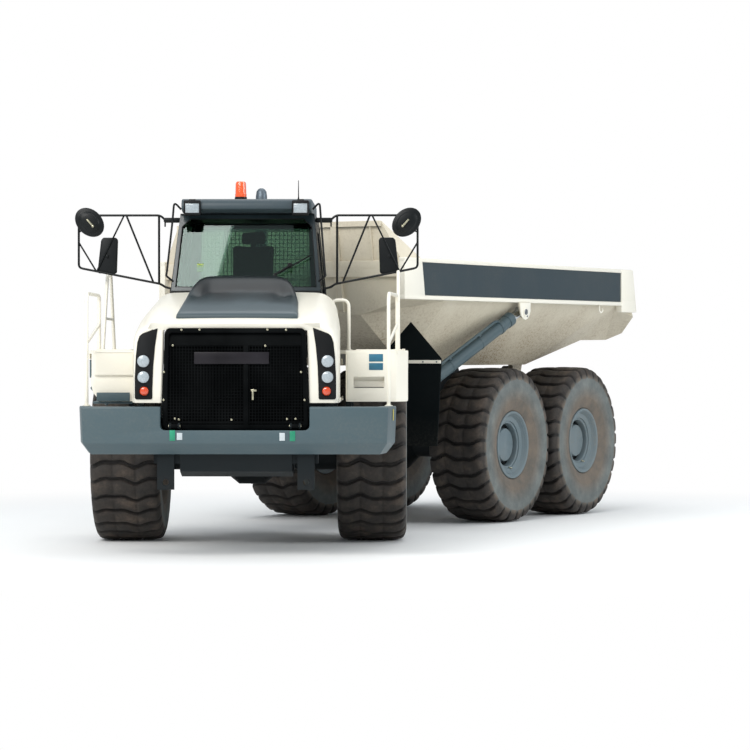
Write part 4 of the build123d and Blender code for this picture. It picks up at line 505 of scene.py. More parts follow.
def slab(name, outline, axis, near, far, edge=0.006, segments=2):
    """A plate from an outline across one axis: the corners are given on the other two axes in order."""
    clear()
    bpy.ops.mesh.primitive_circle_add(vertices=len(outline), radius=1, fill_type="NGON")
    piece = added(name)
    for vertex, (a, b) in zip(piece.data.vertices, outline):
        vertex.co = {"X": (near, a, b), "Y": (a, near, b), "Z": (a, b, near)}[axis]
    push = {"X": (far - near, 0, 0), "Y": (0, far - near, 0), "Z": (0, 0, far - near)}[axis]
    bpy.ops.object.mode_set(mode="EDIT")
    bpy.ops.mesh.select_all(action="SELECT")
    bpy.ops.mesh.extrude_region_move(TRANSFORM_OT_translate={"value": push})
    bpy.ops.mesh.select_all(action="SELECT")
    bpy.ops.mesh.normals_make_consistent(inside=False)
    bpy.ops.object.mode_set(mode="OBJECT")
    return rounded(piece, edge, segments)


def turned(name, profile, centre, axis, steps=48):
    """A piece spun about an axis through a centre, from a profile of distance along it and radius."""
    clear()
    bpy.ops.mesh.primitive_circle_add(vertices=len(profile), radius=1, fill_type="NOTHING")
    piece = added(name)
    centre = Vector(centre)
    axis = Vector(axis).normalized()
    out = axis.orthogonal().normalized()
    for vertex, (along, radius) in zip(piece.data.vertices, profile):
        vertex.co = centre + axis * along + out * radius
    bpy.ops.object.mode_set(mode="EDIT")
    # The edge that closes the circle of points is taken out, so that the profile is an open line
    mesh = bmesh.from_edit_mesh(piece.data)
    ends = {0, len(profile) - 1}
    mesh.edges.remove(next(edge for edge in mesh.edges if {vertex.index for vertex in edge.verts} == ends))
    bmesh.update_edit_mesh(piece.data)
    bpy.ops.mesh.select_all(action="SELECT")
    bpy.ops.mesh.spin(steps=steps, angle=2 * math.pi, center=centre, axis=axis)
    return welded(piece, 0.00005)


def softened(points, bend, steps=5):
    """The points of a line with each corner rounded."""
    points = [Vector(point) for point in points]
    made = [points[0]]
    for before, corner, after in zip(points, points[1:], points[2:]):
        reach = min(bend, (corner - before).length * 0.45, (after - corner).length * 0.45)
        start = corner + (before - corner).normalized() * reach
        end = corner + (after - corner).normalized() * reach
        for step in range(steps + 1):
            share = step / steps
            made.append(start * (1 - share) ** 2 + corner * 2 * share * (1 - share) + end * share ** 2)
    return made + [points[-1]]


def piped(name, points, radius, bend=0.05, closed=False, sides=3):
    """A bent tube through the points."""
    clear()
    bpy.ops.curve.primitive_nurbs_path_add()
    piece = bpy.context.object
    line = piece.data
    line.splines.clear()
    run = softened(points, bend) if bend > 0 and not closed else points
    spline = line.splines.new("POLY")
    spline.points.add(len(run) - 1)
    for point, place in zip(spline.points, run):
        point.co = (*place, 1)
    spline.use_cyclic_u = closed
    line.dimensions = "3D"
    line.bevel_depth = radius
    line.bevel_resolution = sides
    line.use_fill_caps = not closed
    bpy.ops.object.convert(target="MESH")
    return added(name)


def joined(name, pieces):
    """One object from several."""
    clear()
    for piece in pieces:
        piece.select_set(True)
    bpy.context.view_layer.objects.active = pieces[0]
    if len(pieces) > 1:
        bpy.ops.object.join()
    pieces[0].name = name
    return pieces[0]


def copied(piece, matrix, name="copy"):
    """A copy with a mesh of its own, moved by a matrix."""
    twin = piece.copy()
    twin.data = piece.data.copy()
    twin.data.transform(matrix)
    if matrix.determinant() < 0:
        twin.data.flip_normals()
    twin.name = name
    bpy.context.scene.collection.objects.link(twin)
    return twin


def twinned(piece):
    """The piece joined with its twin on the other side."""
    return joined(piece.name, [piece, copied(piece, MIRROR)])


def skinned(name, rings, closed=True, caps=True):
    """A skin over rows of points, each row with the same count, closed round if asked."""
    clear()
    count = len(rings[0]) + int(closed)
    bpy.ops.mesh.primitive_grid_add(x_subdivisions=count - 1, y_subdivisions=len(rings) - 1, size=1)
    piece = added(name)
    for index, vertex in enumerate(piece.data.vertices):
        row, column = divmod(index, count)
        vertex.co = rings[row][column % len(rings[0])]
    return welded(piece, 0.00002, fill=caps)


def rounded_outline(low, high, radius, steps=5):
    """The corners of a rectangle on two axes with round corners, in order."""
    centres = [
        # centre, start angle
        (high[0] - radius, high[1] - radius, 0),
        (low[0] + radius, high[1] - radius, 90),
        (low[0] + radius, low[1] + radius, 180),
        (high[0] - radius, low[1] + radius, 270),
    ]
    points = []
    for a, b, start in centres:
        for step in range(steps + 1):
            angle = math.radians(start + 90 * step / steps)
            points.append((a + radius * math.cos(angle), b + radius * math.sin(angle)))
    return points


def circle(count, radius, start=0):
    """Points spread evenly round a circle, from a start angle in degrees."""
    angles = [math.radians(start + 360 * step / count) for step in range(count)]
    return [(radius * math.cos(angle), radius * math.sin(angle)) for angle in angles]


def repeated(piece, count, offset):
    """A row of the piece, each one moved on by the offset."""
    row = {"use_relative_offset": False, "use_constant_offset": True, "constant_offset_displace": offset}
    return modify(piece, "ARRAY", count=count, **row)


def carved(piece, cutter):
    """Cuts one piece out of another and drops the cutter."""
    modify(piece, "BOOLEAN", operation="DIFFERENCE", solver="EXACT", object=cutter)
    bpy.data.objects.remove(cutter)
    return piece


def painted(piece, finish):
    piece.data.materials.clear()
    piece.data.materials.append(FINISHES[finish])


def placed(piece, finish, body="front_frame", replaces=(), smooth=30):
    """Paints and smooths a finished piece, swings it to its place, and lets it ride on its body."""
    painted(piece, finish)
    take(piece)
    bpy.ops.object.shade_smooth_by_angle(angle=math.radians(smooth))
    piece.data.transform(FRONT_PLACE if body in FRONT_BODIES else REAR_PLACE)
    piece.data.update()
    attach(piece, body)
    if replaces:
        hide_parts(*replaces)


class Maker:
    """Shared settings of the operators."""

    bl_options = {"REGISTER", "UNDO"}

    @classmethod
    def poll(cls, context):
        return bool(frame["nodes"])


# Tyres and wheels
TREAD_PATH = [
    # distance from the middle, radius, share of the groove depth
    (0.3735, 0.790, 0.0),
    (0.3720, 0.815, 0.35),
    (0.3660, 0.850, 0.75),
    (0.3540, 0.884, 1.0),
    (0.3380, 0.908, 1.0),
    (0.3120, 0.924, 1.0),
    (0.2600, 0.929, 1.0),
    (0.2000, 0.9315, 1.0),
    (0.1420, 0.933, 1.0),
    (0.1280, 0.933, 1.0),
    (0.1160, 0.933, 1.0),
    (0.1020, 0.933, 1.0),
    (0.0500, 0.9345, 1.0),
    (0.0, 0.935, 1.0),
]
SIDEWALL = [
    # distance from the middle, radius
    (0.3735, 0.790),
    (0.3750, 0.765),
    (0.3740, 0.735),
    (0.3745, 0.728),
    (0.3745, 0.712),
    (0.3735, 0.705),
    (0.3725, 0.660),
    (0.3690, 0.610),
    (0.3620, 0.560),
    (0.3640, 0.552),
    (0.3600, 0.540),
    (0.3500, 0.500),
    (0.3360, 0.462),
    (0.3240, 0.440),
    (0.3180, 0.425),
    (0.3060, 0.412),
    (0.2960, 0.409),
]


# Depth of each column of a lug below its top, as a share of the groove depth, and of the two columns
# that make the floor of a groove
COLUMN_CUTS = [0.16, 1.0, 1.0, 0.16, 0.02, 0.0, 0.03]
LUG_SHIFT = 0.03
TREAD_HALF = 0.36
RING_GROOVE = 0.122
RING_GROOVE_HALF = 0.008
RING_GROOVE_CUT = 0.22
DUST_RADIUS = 0.70
DUST_WIDTH = 0.16


def wave(across):
    """How far round a groove is bent at a distance from the middle, in lug pitches."""
    share = across / TREAD_HALF
    return 0.13 * math.sin(share * math.pi * 1.5) + 0.07 * math.cos(share * math.pi * 3.0)


def tyre_mesh():
    """One tyre about X: wavy bars across the tread, cut by two grooves round it, on a round carcass."""
    rows = [(-a, r, d) for a, r, d in TREAD_PATH] + [(a, r, d) for a, r, d in reversed(TREAD_PATH[:-1])]
    lugs = sizes().lugs
    pitch = 2 * math.pi / lugs
    half_groove = sizes().groove / 2 / AXLE_HEIGHT / pitch
    columns = [-half_groove, -half_groove * 0.45, half_groove * 0.45, half_groove, 0.30, 0.5, 0.70]
    total = lugs * len(columns)
    clear()
    bpy.ops.mesh.primitive_grid_add(x_subdivisions=total, y_subdivisions=len(rows) - 1, size=1)
    piece = added("tyre_tread")
    mesh = piece.data
    height = mesh.attributes.new("height", "FLOAT", "POINT")
    tread = mesh.attributes.new("tread", "FLOAT", "POINT")
    ring = total + 1
    for index, vertex in enumerate(mesh.vertices):
        row, column = divmod(index, ring)
        across, radius, depth = rows[row]
        lug, part = divmod(column % total, len(columns))
        cut = COLUMN_CUTS[part]
        if abs(abs(across) - RING_GROOVE) < RING_GROOVE_HALF:
            cut = max(cut, RING_GROOVE_CUT)
        shift = wave(across) + (LUG_SHIFT if lug % 2 else -LUG_SHIFT)
        angle = (lug + columns[part] + shift) * pitch
        level = radius - sizes().lug_depth * depth * cut
        vertex.co = (across, level * math.cos(angle), level * math.sin(angle))
        # Lower points get a lower value, which the rubber paints darker: painted shade in the grooves and
        # at the lug edges
        height.data[index].value = max(0.0, 1.0 - 1.6 * cut)
        tread.data[index].value = min(1.0, depth * 1.4)
    walls = []
    for side in (1, -1):
        profile = [(side * a, r) for a, r in SIDEWALL]
        wall = turned("tyre_wall", profile, ORIGIN, SIDEWAYS, 96)
        ring_dust = wall.data.attributes.new("height", "FLOAT", "POINT")
        wall.data.attributes.new("tread", "FLOAT", "POINT")
        for vertex in wall.data.vertices:
            reach = math.hypot(vertex.co.y, vertex.co.z)
            ring_dust.data[vertex.index].value = min(1.0, max(0.0, (DUST_RADIUS - reach) / DUST_WIDTH))
        walls.append(wall)
    return welded(joined("tyre", [piece] + walls), 0.0002)


# Parts of a wheel, turned about X
HUB_DRUM = [
    # distance from the middle, radius
    (0.150, 0.200),
    (0.202, 0.200),
    (0.211, 0.195),
    (0.214, 0.186),
    (0.214, 0.064),
    (0.217, 0.058),
    (0.217, 0.0),
]
RIM_RING = [
    # distance from the middle, radius
    (0.150, 0.262),
    (0.222, 0.260),
    (0.232, 0.264),
    (0.236, 0.272),
    (0.235, 0.288),
    (0.226, 0.300),
    (0.158, 0.312),
]
RIM_LIP = [
    # distance from the middle, radius
    (0.300, 0.372),
    (0.312, 0.376),
    (0.322, 0.386),
    (0.324, 0.400),
    (0.318, 0.408),
    (0.306, 0.409),
]
GAP_FLOOR = [(0.1505, 0.262), (0.153, 0.262), (0.153, 0.204)]


def wheel_fittings():
    """What fills a rim's dish: the hub drum with its bolted cap, the raised ring round it and the lip."""
    parts = [turned("hub_drum", HUB_DRUM, ORIGIN, SIDEWAYS, 64)]
    parts.append(turned("rim_ring", RIM_RING, ORIGIN, SIDEWAYS, 72))
    parts.append(turned("rim_lip", RIM_LIP, ORIGIN, SIDEWAYS, 72))
    parts += [rod("cap_bolt", (0.2135, y, z), (0.218, y, z), 0.006, 0.001, 6) for y, z in circle(8, 0.172)]
    return joined("wheel_fittings", parts)


def wheel_gap_painted_shade():
    """The bottom of the ring-shaped gap round a hub drum, with its studs: a dark ring that is painted shade
    in the deep gap.
    """
    parts = [turned("gap_floor", GAP_FLOOR, ORIGIN, SIDEWAYS, 48)]
    parts += [rod("stud", (0.152, y, z), (0.176, y, z), 0.011, 0.002, 6) for y, z in circle(20, 0.233)]
    return joined("wheel_gap_painted_shade", parts)


class TRUCK_OT_wheels(Maker, bpy.types.Operator):
    """Models one tyre and what is bolted in its rim, and copies them to the six wheels"""

    bl_idname = "truck.wheels"
    bl_label = "Wheels"

    def execute(self, context):
        tyre = tyre_mesh()
        fittings = wheel_fittings()
        gap = wheel_gap_painted_shade()
        valve = rod("valve", (0.236, -0.16, -0.225), (0.275, -0.165, -0.245), 0.008, 0.002, 10)
        for name, side, behind in WHEELS:
            turn = Matrix.Identity(4) if side > 0 else Matrix.Rotation(math.pi, 4, "Z")
            roll = Matrix.Rotation(0.07 * (len(name) + behind), 4, "X")
            place = Matrix.Translation((side * TRACK_HALF, behind, AXLE_HEIGHT)) @ turn @ roll
            body = "wheel_" + name
            tread = copied(tyre, place, "tread_" + name)
            placed(tread, "tyre", body, ["tyre_" + name], 40)
            placed(copied(fittings, place, "hub_" + name), "wheel", body)
            # Painted shade: the gap's floor and studs take the dark chassis enamel
            placed(copied(gap, place, "hub_gap_shade_" + name), "chassis", body)
            placed(copied(valve, place, "valve_" + name), "zinc", body)
            painted(frame["nodes"]["rim_" + name], "wheel")
        for piece in (tyre, fittings, gap, valve):
            bpy.data.objects.remove(piece)
        return {"FINISHED"}


# Hood, bulge, grille and lamps
HOOD_FOOT = 1.557
HOOD_ROWS = [
    # y, half width, top, shoulder radius
    (-2.985, 0.985, 2.305, 0.17),
    (-2.972, 1.006, 2.322, 0.19),
    (-2.935, 1.020, 2.338, 0.20),
    (-2.860, 1.028, 2.360, 0.21),
    (-2.700, 1.030, 2.408, 0.22),
    (-2.460, 1.030, 2.478, 0.24),
    (-2.150, 1.022, 2.540, 0.25),
    (-1.850, 1.006, 2.596, 0.25),
    (-1.550, 0.988, 2.646, 0.24),
    (-1.264, 0.971, 2.688, 0.22),
]
GRILLE_LOW = 1.292
GRILLE_HIGH = 2.302
GRILLE_HALF = 0.732
GRILLE_TAPER = 0.03


def arch(half, bottom, top, radius, crown=0.012, steps=8):
    """The section of a hood as x, z: up one side, round its shoulder, over the top and down again."""
    side = [(half, bottom + (top - radius - bottom) * share) for share in (0, 0.33, 0.66, 1.0)]
    for step in range(1, steps + 1):
        turn = step / steps * math.pi / 2
        side.append((half - radius + radius * math.cos(turn), top - radius + radius * math.sin(turn)))
    flat = half - radius
    for step in range(1, 5):
        x = flat * (1 - step / 4)
        side.append((x, top + crown * (1 - (x / flat) ** 2)))
    return [(-x, z) for x, z in side[:-1]] + side[::-1]


def tapered(points):
    """Narrows the grille's outline towards its top."""
    span = GRILLE_HIGH - GRILLE_LOW
    return [(x * (1 - GRILLE_TAPER * (z - GRILLE_LOW) / span / GRILLE_HALF), z) for x, z in points]


def at_y(points, y):
    return [(x, y, z) for x, z in points]


class TRUCK_OT_hood(Maker, bpy.types.Operator):
    """Models the tilting hood with its round shoulders and the opening for the grille"""

    bl_idname = "truck.hood"
    bl_label = "Hood"

    def execute(self, context):
        mouth = tapered(arch(GRILLE_HALF + 0.012, HOOD_FOOT, GRILLE_HIGH + 0.012, 0.05, 0.0))
        lip = tapered(arch(GRILLE_HALF + 0.024, HOOD_FOOT, GRILLE_HIGH + 0.02, 0.06, 0.0))
        rings = [at_y(mouth, -2.900), at_y(mouth, -2.978), at_y(lip, -2.987)]
        for y, half, top, radius in HOOD_ROWS:
            rings.append(at_y(arch(half, HOOD_FOOT, top, radius), y))
        shell = skinned("hood_shell", rings, closed=False, caps=False)
        modify(shell, "SOLIDIFY", thickness=0.008, offset=-1.0, use_even_offset=True)
        parts = [shell]
        for side in (-1, 1):
            parts.append(boxed("latch", (side * 1.018, -1.62, 1.93), (side * 1.032, -1.50, 1.99), 0.004))
            parts.append(boxed("strip", (side * 1.022, -2.90, 1.560), (side * 1.034, -1.30, 1.600), 0.004))
        hood = joined("hood_cover", parts)
        placed(hood, "cream", "hood_body", ["hood"])
        return {"FINISHED"}


# Heights between which the grey of the bulge darkens, as painted reflection and shade
BULGE_LIP = 2.52
BULGE_CROWN = 2.86
BULGE_ROWS = [
    # y, half width, base, top, shoulder radius
    (-2.752, 0.600, 2.398, 2.412, 0.008),
    (-2.748, 0.609, 2.400, 2.430, 0.02),
    (-2.730, 0.612, 2.402, 2.452, 0.035),
    (-2.690, 0.612, 2.408, 2.470, 0.045),
    (-2.500, 0.610, 2.440, 2.520, 0.070),
    (-2.250, 0.604, 2.480, 2.590, 0.100),
    (-2.020, 0.594, 2.520, 2.662, 0.125),
    (-1.960, 0.588, 2.530, 2.690, 0.135),
    (-1.860, 0.572, 2.545, 2.760, 0.160),
    (-1.760, 0.552, 2.560, 2.822, 0.175),
    (-1.690, 0.540, 2.575, 2.846, 0.180),
    (-1.600, 0.530, 2.590, 2.856, 0.180),
    (-1.300, 0.515, 2.640, 2.858, 0.175),
    (-1.275, 0.505, 2.650, 2.846, 0.165),
]


class TRUCK_OT_bulge(Maker, bpy.types.Operator):
    """Models the grey bulge that rises from the hood towards the windscreen"""

    bl_idname = "truck.bulge"
    bl_label = "Bulge"

    def execute(self, context):
        rings = []
        for y, half, base, top, radius in BULGE_ROWS:
            section = arch(half, base - 0.02, top, min(radius, top - base + 0.015), 0.004, 10)
            rings.append(at_y(section, y))
        shell = skinned("hood_bulge", rings)
        modify(shell, "SUBSURF", levels=2, render_levels=2)
        # Soft hollows where the lobes of the bulge run into its crown
        for vertex in shell.data.vertices:
            x, y, _ = vertex.co
            for side in (-1, 1):
                near = ((x - side * 0.44) / 0.085) ** 2 + ((y + 1.93) / 0.20) ** 2
                vertex.co.z -= 0.055 * math.exp(-near)
        placed(shell, "scoop", "hood_body", ["hood_scoop"], 60)
        return {"FINISHED"}


GRILLE_RING = [
    # inset, y, corner radius
    (0.004, -2.955, 0.06),
    (0.0, -2.965, 0.06),
    (0.0, -3.012, 0.06),
    (0.008, -3.022, 0.055),
    (0.042, -3.026, 0.035),
    (0.048, -3.020, 0.030),
    (0.050, -2.975, 0.028),
    (0.050, -2.955, 0.028),
    (0.004, -2.955, 0.06),
]
BROW = [
    # y, z
    (-3.016, 2.128),
    (-3.014, 2.150),
    (-2.992, 2.235),
    (-2.975, 2.267),
    (-2.955, 2.20),
]
BRACES = [
    # upper x, z, lower x, z
    (0.10, 1.70, 0.60, 1.38),
    (0.10, 1.70, -0.60, 1.38),
    (-0.2, 2.12, -0.24, 1.36),
]
GRILLE_BOLTS = [
    # x, z
    (-0.708, 1.865),
    (-0.712, 1.587),
    (0.655, 1.865),
    (0.69, 1.587),
    (-0.56, 1.393),
    (0.516, 1.398),
    (-0.036, 1.391),
    (-0.533, 2.284),
    (-0.354, 2.286),
    (0.322, 2.286),
    (0.506, 2.284),
    (-0.60, 1.40),
    (0.60, 1.40),
    (-0.62, 2.13),
    (0.30, 2.125),
]


class TRUCK_OT_grille(Maker, bpy.types.Operator):
    """Models the grille: its frame, wires, latch, bolts, hinge lugs and blank badge"""

    bl_idname = "truck.grille"
    bl_label = "Grille"

    def execute(self, context):
        rings = []
        for inset, y, radius in GRILLE_RING:
            low = (inset - GRILLE_HALF, GRILLE_LOW + inset)
            high = (GRILLE_HALF - inset, GRILLE_HIGH - inset)
            rings.append(at_y(tapered(rounded_outline(low, high, radius)), y))
        border = skinned("border", rings, caps=False)
        pitch = sizes().mesh_pitch
        wire = sizes().wire / 2
        bottom = GRILLE_LOW + 0.045
        half = GRILLE_HALF - 0.052
        columns = int(2 * half / pitch)
        rows = int((2.13 - bottom) / pitch)
        upright = boxed("wire", (-half, -3.006 - wire, bottom), (-half + 2 * wire, -3.006 + wire, 2.14), 0)
        upright = repeated(upright, columns + 1, (2 * half / columns, 0, 0))
        level = boxed("wire", (-half, -3.002 - wire, bottom), (half, -3.002 + wire, bottom + 2 * wire), 0)
        level = repeated(level, rows + 1, (0, 0, pitch))
        brow = skinned("brow", [[(x, y, z) for y, z in BROW] for x in (-half - 0.01, half + 0.01)])
        parts = [border, upright, level, brow]
        parts.append(boxed("seam", (0.084, -3.024, bottom), (0.132, -3.004, 2.13), 0.004))
        parts.append(boxed("sill", (-0.70, -3.018, 1.352), (0.70, -2.99, 1.364), 0.003))
        for x0, z0, x1, z1 in BRACES:
            parts.append(rod("brace", (x0, -2.990, z0), (x1, -2.990, z1), 0.008, 0, 8))
        for x in (-0.60, 0.60):
            parts.append(
                rod("hinge_eye", (x - 0.034, -3.085, 1.33), (x + 0.034, -3.085, 1.33), 0.023, 0.003, 20)
            )
            parts.append(boxed("hinge_arm", (x - 0.03, -3.085, 1.312), (x + 0.03, -3.0, 1.348), 0.004))
        parts.append(boxed("backing", (-0.70, -2.965, 1.33), (0.69, -2.95, 2.27), 0.002))
        placed(joined("grille_frame", parts), "grille", "hood_body", ["grille"])
        badge = boxed("badge_plate", (-0.409, -3.034, 1.944), (0.337, -3.010, 2.064), 0.008)
        placed(badge, "badge", "hood_body")
        # Bolts, latch and hinge pins that catch the light
        heads = [rod("bolt", (x, -3.022, z), (x, -3.034, z), 0.012, 0.003, 6) for x, z in GRILLE_BOLTS]
        heads.append(boxed("latch_bar", (0.158, -3.048, 1.672), (0.214, -3.030, 1.692), 0.005))
        heads.append(boxed("latch_lever", (0.166, -3.048, 1.587), (0.186, -3.032, 1.68), 0.006))
        heads.append(rod("latch_boss", (0.176, -3.034, 1.68), (0.176, -3.0, 1.68), 0.016, 0.003, 16))
        for x in (-0.60, 0.60):
            heads.append(
                rod("hinge_pin", (x - 0.06, -3.085, 1.33), (x + 0.06, -3.085, 1.33), 0.0135, 0.003, 16)
            )
        placed(joined("grille_bolts", heads), "zinc", "hood_body")
        return {"FINISHED"}


LAMP_PANEL = [
    # x, z
    (0.838, 1.592),
    (0.990, 1.592),
    (1.002, 1.606),
    (1.003, 1.80),
    (0.992, 2.02),
    (0.976, 2.16),
    (0.955, 2.222),
    (0.925, 2.248),
    (0.772, 2.306),
    (0.800, 2.12),
    (0.818, 1.92),
    (0.826, 1.72),
    (0.828, 1.604),
]
LAMP_ROWS = [
    # x, z, radius, lens finish
    (0.917, 1.972, 0.066, "clear_lens"),
    (0.917, 1.814, 0.064, "clear_lens"),
    (0.908, 1.674, 0.050, "amber"),
]


class TRUCK_OT_headlamps(Maker, bpy.types.Operator):
    """Models the lamp panels beside the grille with their round lamps"""

    bl_idname = "truck.headlamps"
    bl_label = "Headlamps"

    def execute(self, context):
        panels = []
        glass = {}
        for side in (1, -1):
            outline = [(side * x, z) for x, z in LAMP_PANEL]
            panels.append(slab("panel", outline, "Y", -2.978, -2.996, 0.005))
            for x, z, radius, finish in LAMP_ROWS:
                centre = (side * x, -2.996, z)
                bezel = [
                    (-0.004, radius + 0.008),
                    (0.006, radius + 0.007),
                    (0.010, radius + 0.001),
                    (0.004, radius - 0.005),
                ]
                panels.append(turned("bezel", bezel, centre, FORWARDS, 40))
                dome = [
                    (-0.002, radius - 0.004),
                    (0.004, radius - 0.006),
                    (0.012, radius * 0.72),
                    (0.017, radius * 0.4),
                    (0.019, 0.0),
                ]
                glass.setdefault(finish, []).append(turned("dome", dome, centre, FORWARDS, 40))
        placed(joined("lamp_panels", panels), "abs", "hood_body", ["headlamps"])
        for finish, domes in glass.items():
            placed(joined("lamps_" + finish, domes), finish, "hood_body")
        return {"FINISHED"}


# Bumper
BUMPER_LEVELS = [
    # z, half width at the front, front y, half width at the rear end, rear y, depth
    (1.045, 1.440, -2.985, 1.500, -2.620, 0.06),
    (1.155, 1.508, -3.100, 1.586, -2.600, 0.13),
    (1.198, 1.511, -3.104, 1.588, -2.600, 0.15),
    (1.508, 1.522, -3.106, 1.600, -2.600, 0.15),
    (1.520, 1.516, -3.096, 1.594, -2.606, 0.14),
]


def bumper_ring(z, half, front, end_half, rear, depth):
    wall = 0.11
    points = [
        (-half, front),
        (half, front),
        (end_half, rear),
        (end_half - wall, rear),
        (half - wall, front + depth),
    ]
    points += [(-half + wall, front + depth), (-end_half + wall, rear), (-end_half, rear)]
    return [(x, y, z) for x, y in points]


class TRUCK_OT_bumper(Maker, bpy.types.Operator):
    """Models the deep bumper with its swept ends, its notch and its blank stickers"""

    bl_idname = "truck.bumper"
    bl_label = "Bumper"

    def execute(self, context):
        beam = skinned("bumper_beam", [bumper_ring(*row) for row in BUMPER_LEVELS])
        notch = rounded_outline((-0.742, 1.286), (0.742, 1.70), 0.05)
        beam = carved(beam, slab("notch", notch, "Y", -3.2, -2.90, 0))
        beam = rounded(beam, 0.008, 2, 25)
        parts = [beam]
        for side in (-1, 1):
            parts.append(boxed("arm", (side * 0.780, -2.962, 1.158), (side * 0.900, -2.790, 1.274), 0.005))
        beam = joined("bumper_beam", parts)
        placed(beam, "slate", replaces=["front_bumper"])
        stickers = [
            # low x, high x, low z, high z, finish
            (-0.646, -0.592, 1.184, 1.288, "green_label"),
            (-0.574, -0.520, 1.192, 1.262, "white_label"),
            (0.546, 0.600, 1.180, 1.280, "green_label"),
            (0.444, 0.498, 1.184, 1.262, "white_label"),
        ]
        for x0, x1, z0, z1, finish in stickers:
            sticker = boxed("sticker_" + finish, (x0, -3.1085, z0), (x1, -3.104, z1), 0.001)
            placed(sticker, finish)
        tape = boxed("tape", (-0.012, -0.002, 1.38), (0.012, 0.002, 1.49), 0.0005)
        turn = Matrix.Translation((1.5705, -2.84, 0)) @ Matrix.Rotation(math.radians(81.5), 4, "Z")
        tape.data.transform(turn)
        placed(tape, "yellow_label")
        return {"FINISHED"}


# Cab
SCREEN_FOOT = (-1.2, 2.70)
SCREEN_LEAN = 0.357
SCREEN_NORMAL = Vector((0, -0.942, 0.336))
SCREEN_EDGE = [
    # x and z of the black border's outer edge, x and z of the clear glass
    (-0.790, 2.708, -0.745, 2.750),
    (0.790, 2.708, 0.745, 2.750),
    (0.727, 3.395, 0.690, 3.395),
    (0.716, 3.524, 0.606, 3.480),
    (-0.716, 3.524, -0.606, 3.480),
    (-0.727, 3.395, -0.690, 3.395),
]
GUARD_WIRE = 0.0045
GUARD_PITCH = 0.045
GUARD_FRAME = 0.009


def screen(x, z, out=0.0):
    """A point on the leaning front of the cab, moved outwards by a distance."""
    y = SCREEN_FOOT[0] + (z - SCREEN_FOOT[1]) * SCREEN_LEAN
    return Vector((x, y, z)) + SCREEN_NORMAL * out


def banded(name, outer, inner, low, high):
    """A flat frame between two outlines of the windscreen's plane, from one height over it to another."""
    rows = [(outer, low), (outer, high), (inner, high), (inner, low), (outer, low)]
    return skinned(name, [[screen(x, z, out) for x, z in line] for line, out in rows], caps=False)


class TRUCK_OT_cab(Maker, bpy.types.Operator):
    """Models what is on the cab: the windscreen's border and gasket, wiper, grab rails, guard and handle"""

    bl_idname = "truck.cab"
    bl_label = "Cab Details"

    def execute(self, context):
        outer = [(x, z) for x, z, _, _ in SCREEN_EDGE]
        inner = [(x, z) for _, _, x, z in SCREEN_EDGE]
        border = banded("screen_border", outer, inner, -0.002, 0.007)
        placed(border, "border")
        line = [screen(x, z, 0.006) for x, z in inner]
        parts = [piped("gasket", line, 0.006, 0, closed=True)]
        # Wiper: arm, blade and the boss that they turn on
        parts.append(
            rod("wiper_boss", screen(0.31, 2.868, -0.01), screen(0.31, 2.868, 0.045), 0.022, 0.004, 20)
        )
        parts.append(piped("wiper_arm", [screen(0.31, 2.868, 0.04), screen(0.47, 2.965, 0.05)], 0.011, 0))
        parts.append(
            piped("wiper_blade", [screen(0.34, 2.885, 0.02), screen(0.685, 3.085, 0.02)], 0.008, 0)
        )
        parts.append(boxed("wiper_clip", screen(0.44, 2.945, 0.015), screen(0.49, 2.985, 0.06), 0.004))
        # Grab rails up the front pillars, bent in at both ends
        rail = [(0.700, -0.985, 3.58), (0.775, -1.0, 3.66), (0.790, -1.02, 3.46), (0.838, -1.18, 2.90)]
        rail += [(0.845, -1.19, 2.868), (0.770, -1.165, 2.81)]
        for side in (-1, 1):
            parts.append(piped("grab_rail", [(side * x, y, z) for x, y, z in rail], 0.011, 0.05))
            parts.append(
                boxed("pillar_seal", (side * 0.802, -0.71, 2.10), (side * 0.808, -0.70, 2.69), 0.002)
            )
            parts.append(boxed("cab_skirt", (side * 0.806, -1.19, 2.02), (side * 0.812, 0.64, 2.07), 0.003))
        handle = [(0.812, -0.60, 2.36), (0.850, -0.60, 2.36), (0.850, -0.44, 2.36), (0.812, -0.44, 2.36)]
        placed(piped("door_pull", handle, 0.011, 0.02), "abs", "door_body")
        placed(joined("cab_trim", parts), "abs")
        # Guard of wires behind the rear window
        wires = []
        for step in range(27):
            x = -0.585 + step * GUARD_PITCH
            wires.append(rod("guard", (x, 0.672, 2.46), (x, 0.672, 3.43), GUARD_WIRE, 0, 5))
        for step in range(22):
            z = 2.47 + step * GUARD_PITCH
            wires.append(rod("guard", (-0.60, 0.668, z), (0.60, 0.668, z), GUARD_WIRE, 0, 5))
        for z in (2.455, 3.435):
            wires.append(rod("guard_rail", (-0.62, 0.67, z), (0.62, 0.67, z), GUARD_FRAME, 0, 10))
        for x in (-0.61, 0.0, 0.61):
            wires.append(rod("guard_post", (x, 0.67, 2.455), (x, 0.67, 3.435), GUARD_FRAME, 0, 10))
        placed(joined("rear_guard", wires), "guard")
        flag = boxed("indicator", (-0.528, -1.072, 2.915), (-0.456, -1.062, 3.000), 0.012, 3)
        placed(flag, "flag")
        stem = rod("indicator_stem", (-0.505, -1.066, 2.72), (-0.495, -1.066, 2.92), 0.005, 0, 10)
        placed(stem, "cabin")
        return {"FINISHED"}


# Cell of a pad's mesh, frames that it is blown up for, pressure in it and most that its cover may rise
FOAM_CELL = 0.006
FOAM_FRAMES = 20
FOAM_PRESSURE = 4.0
FOAM_RISE = 0.012


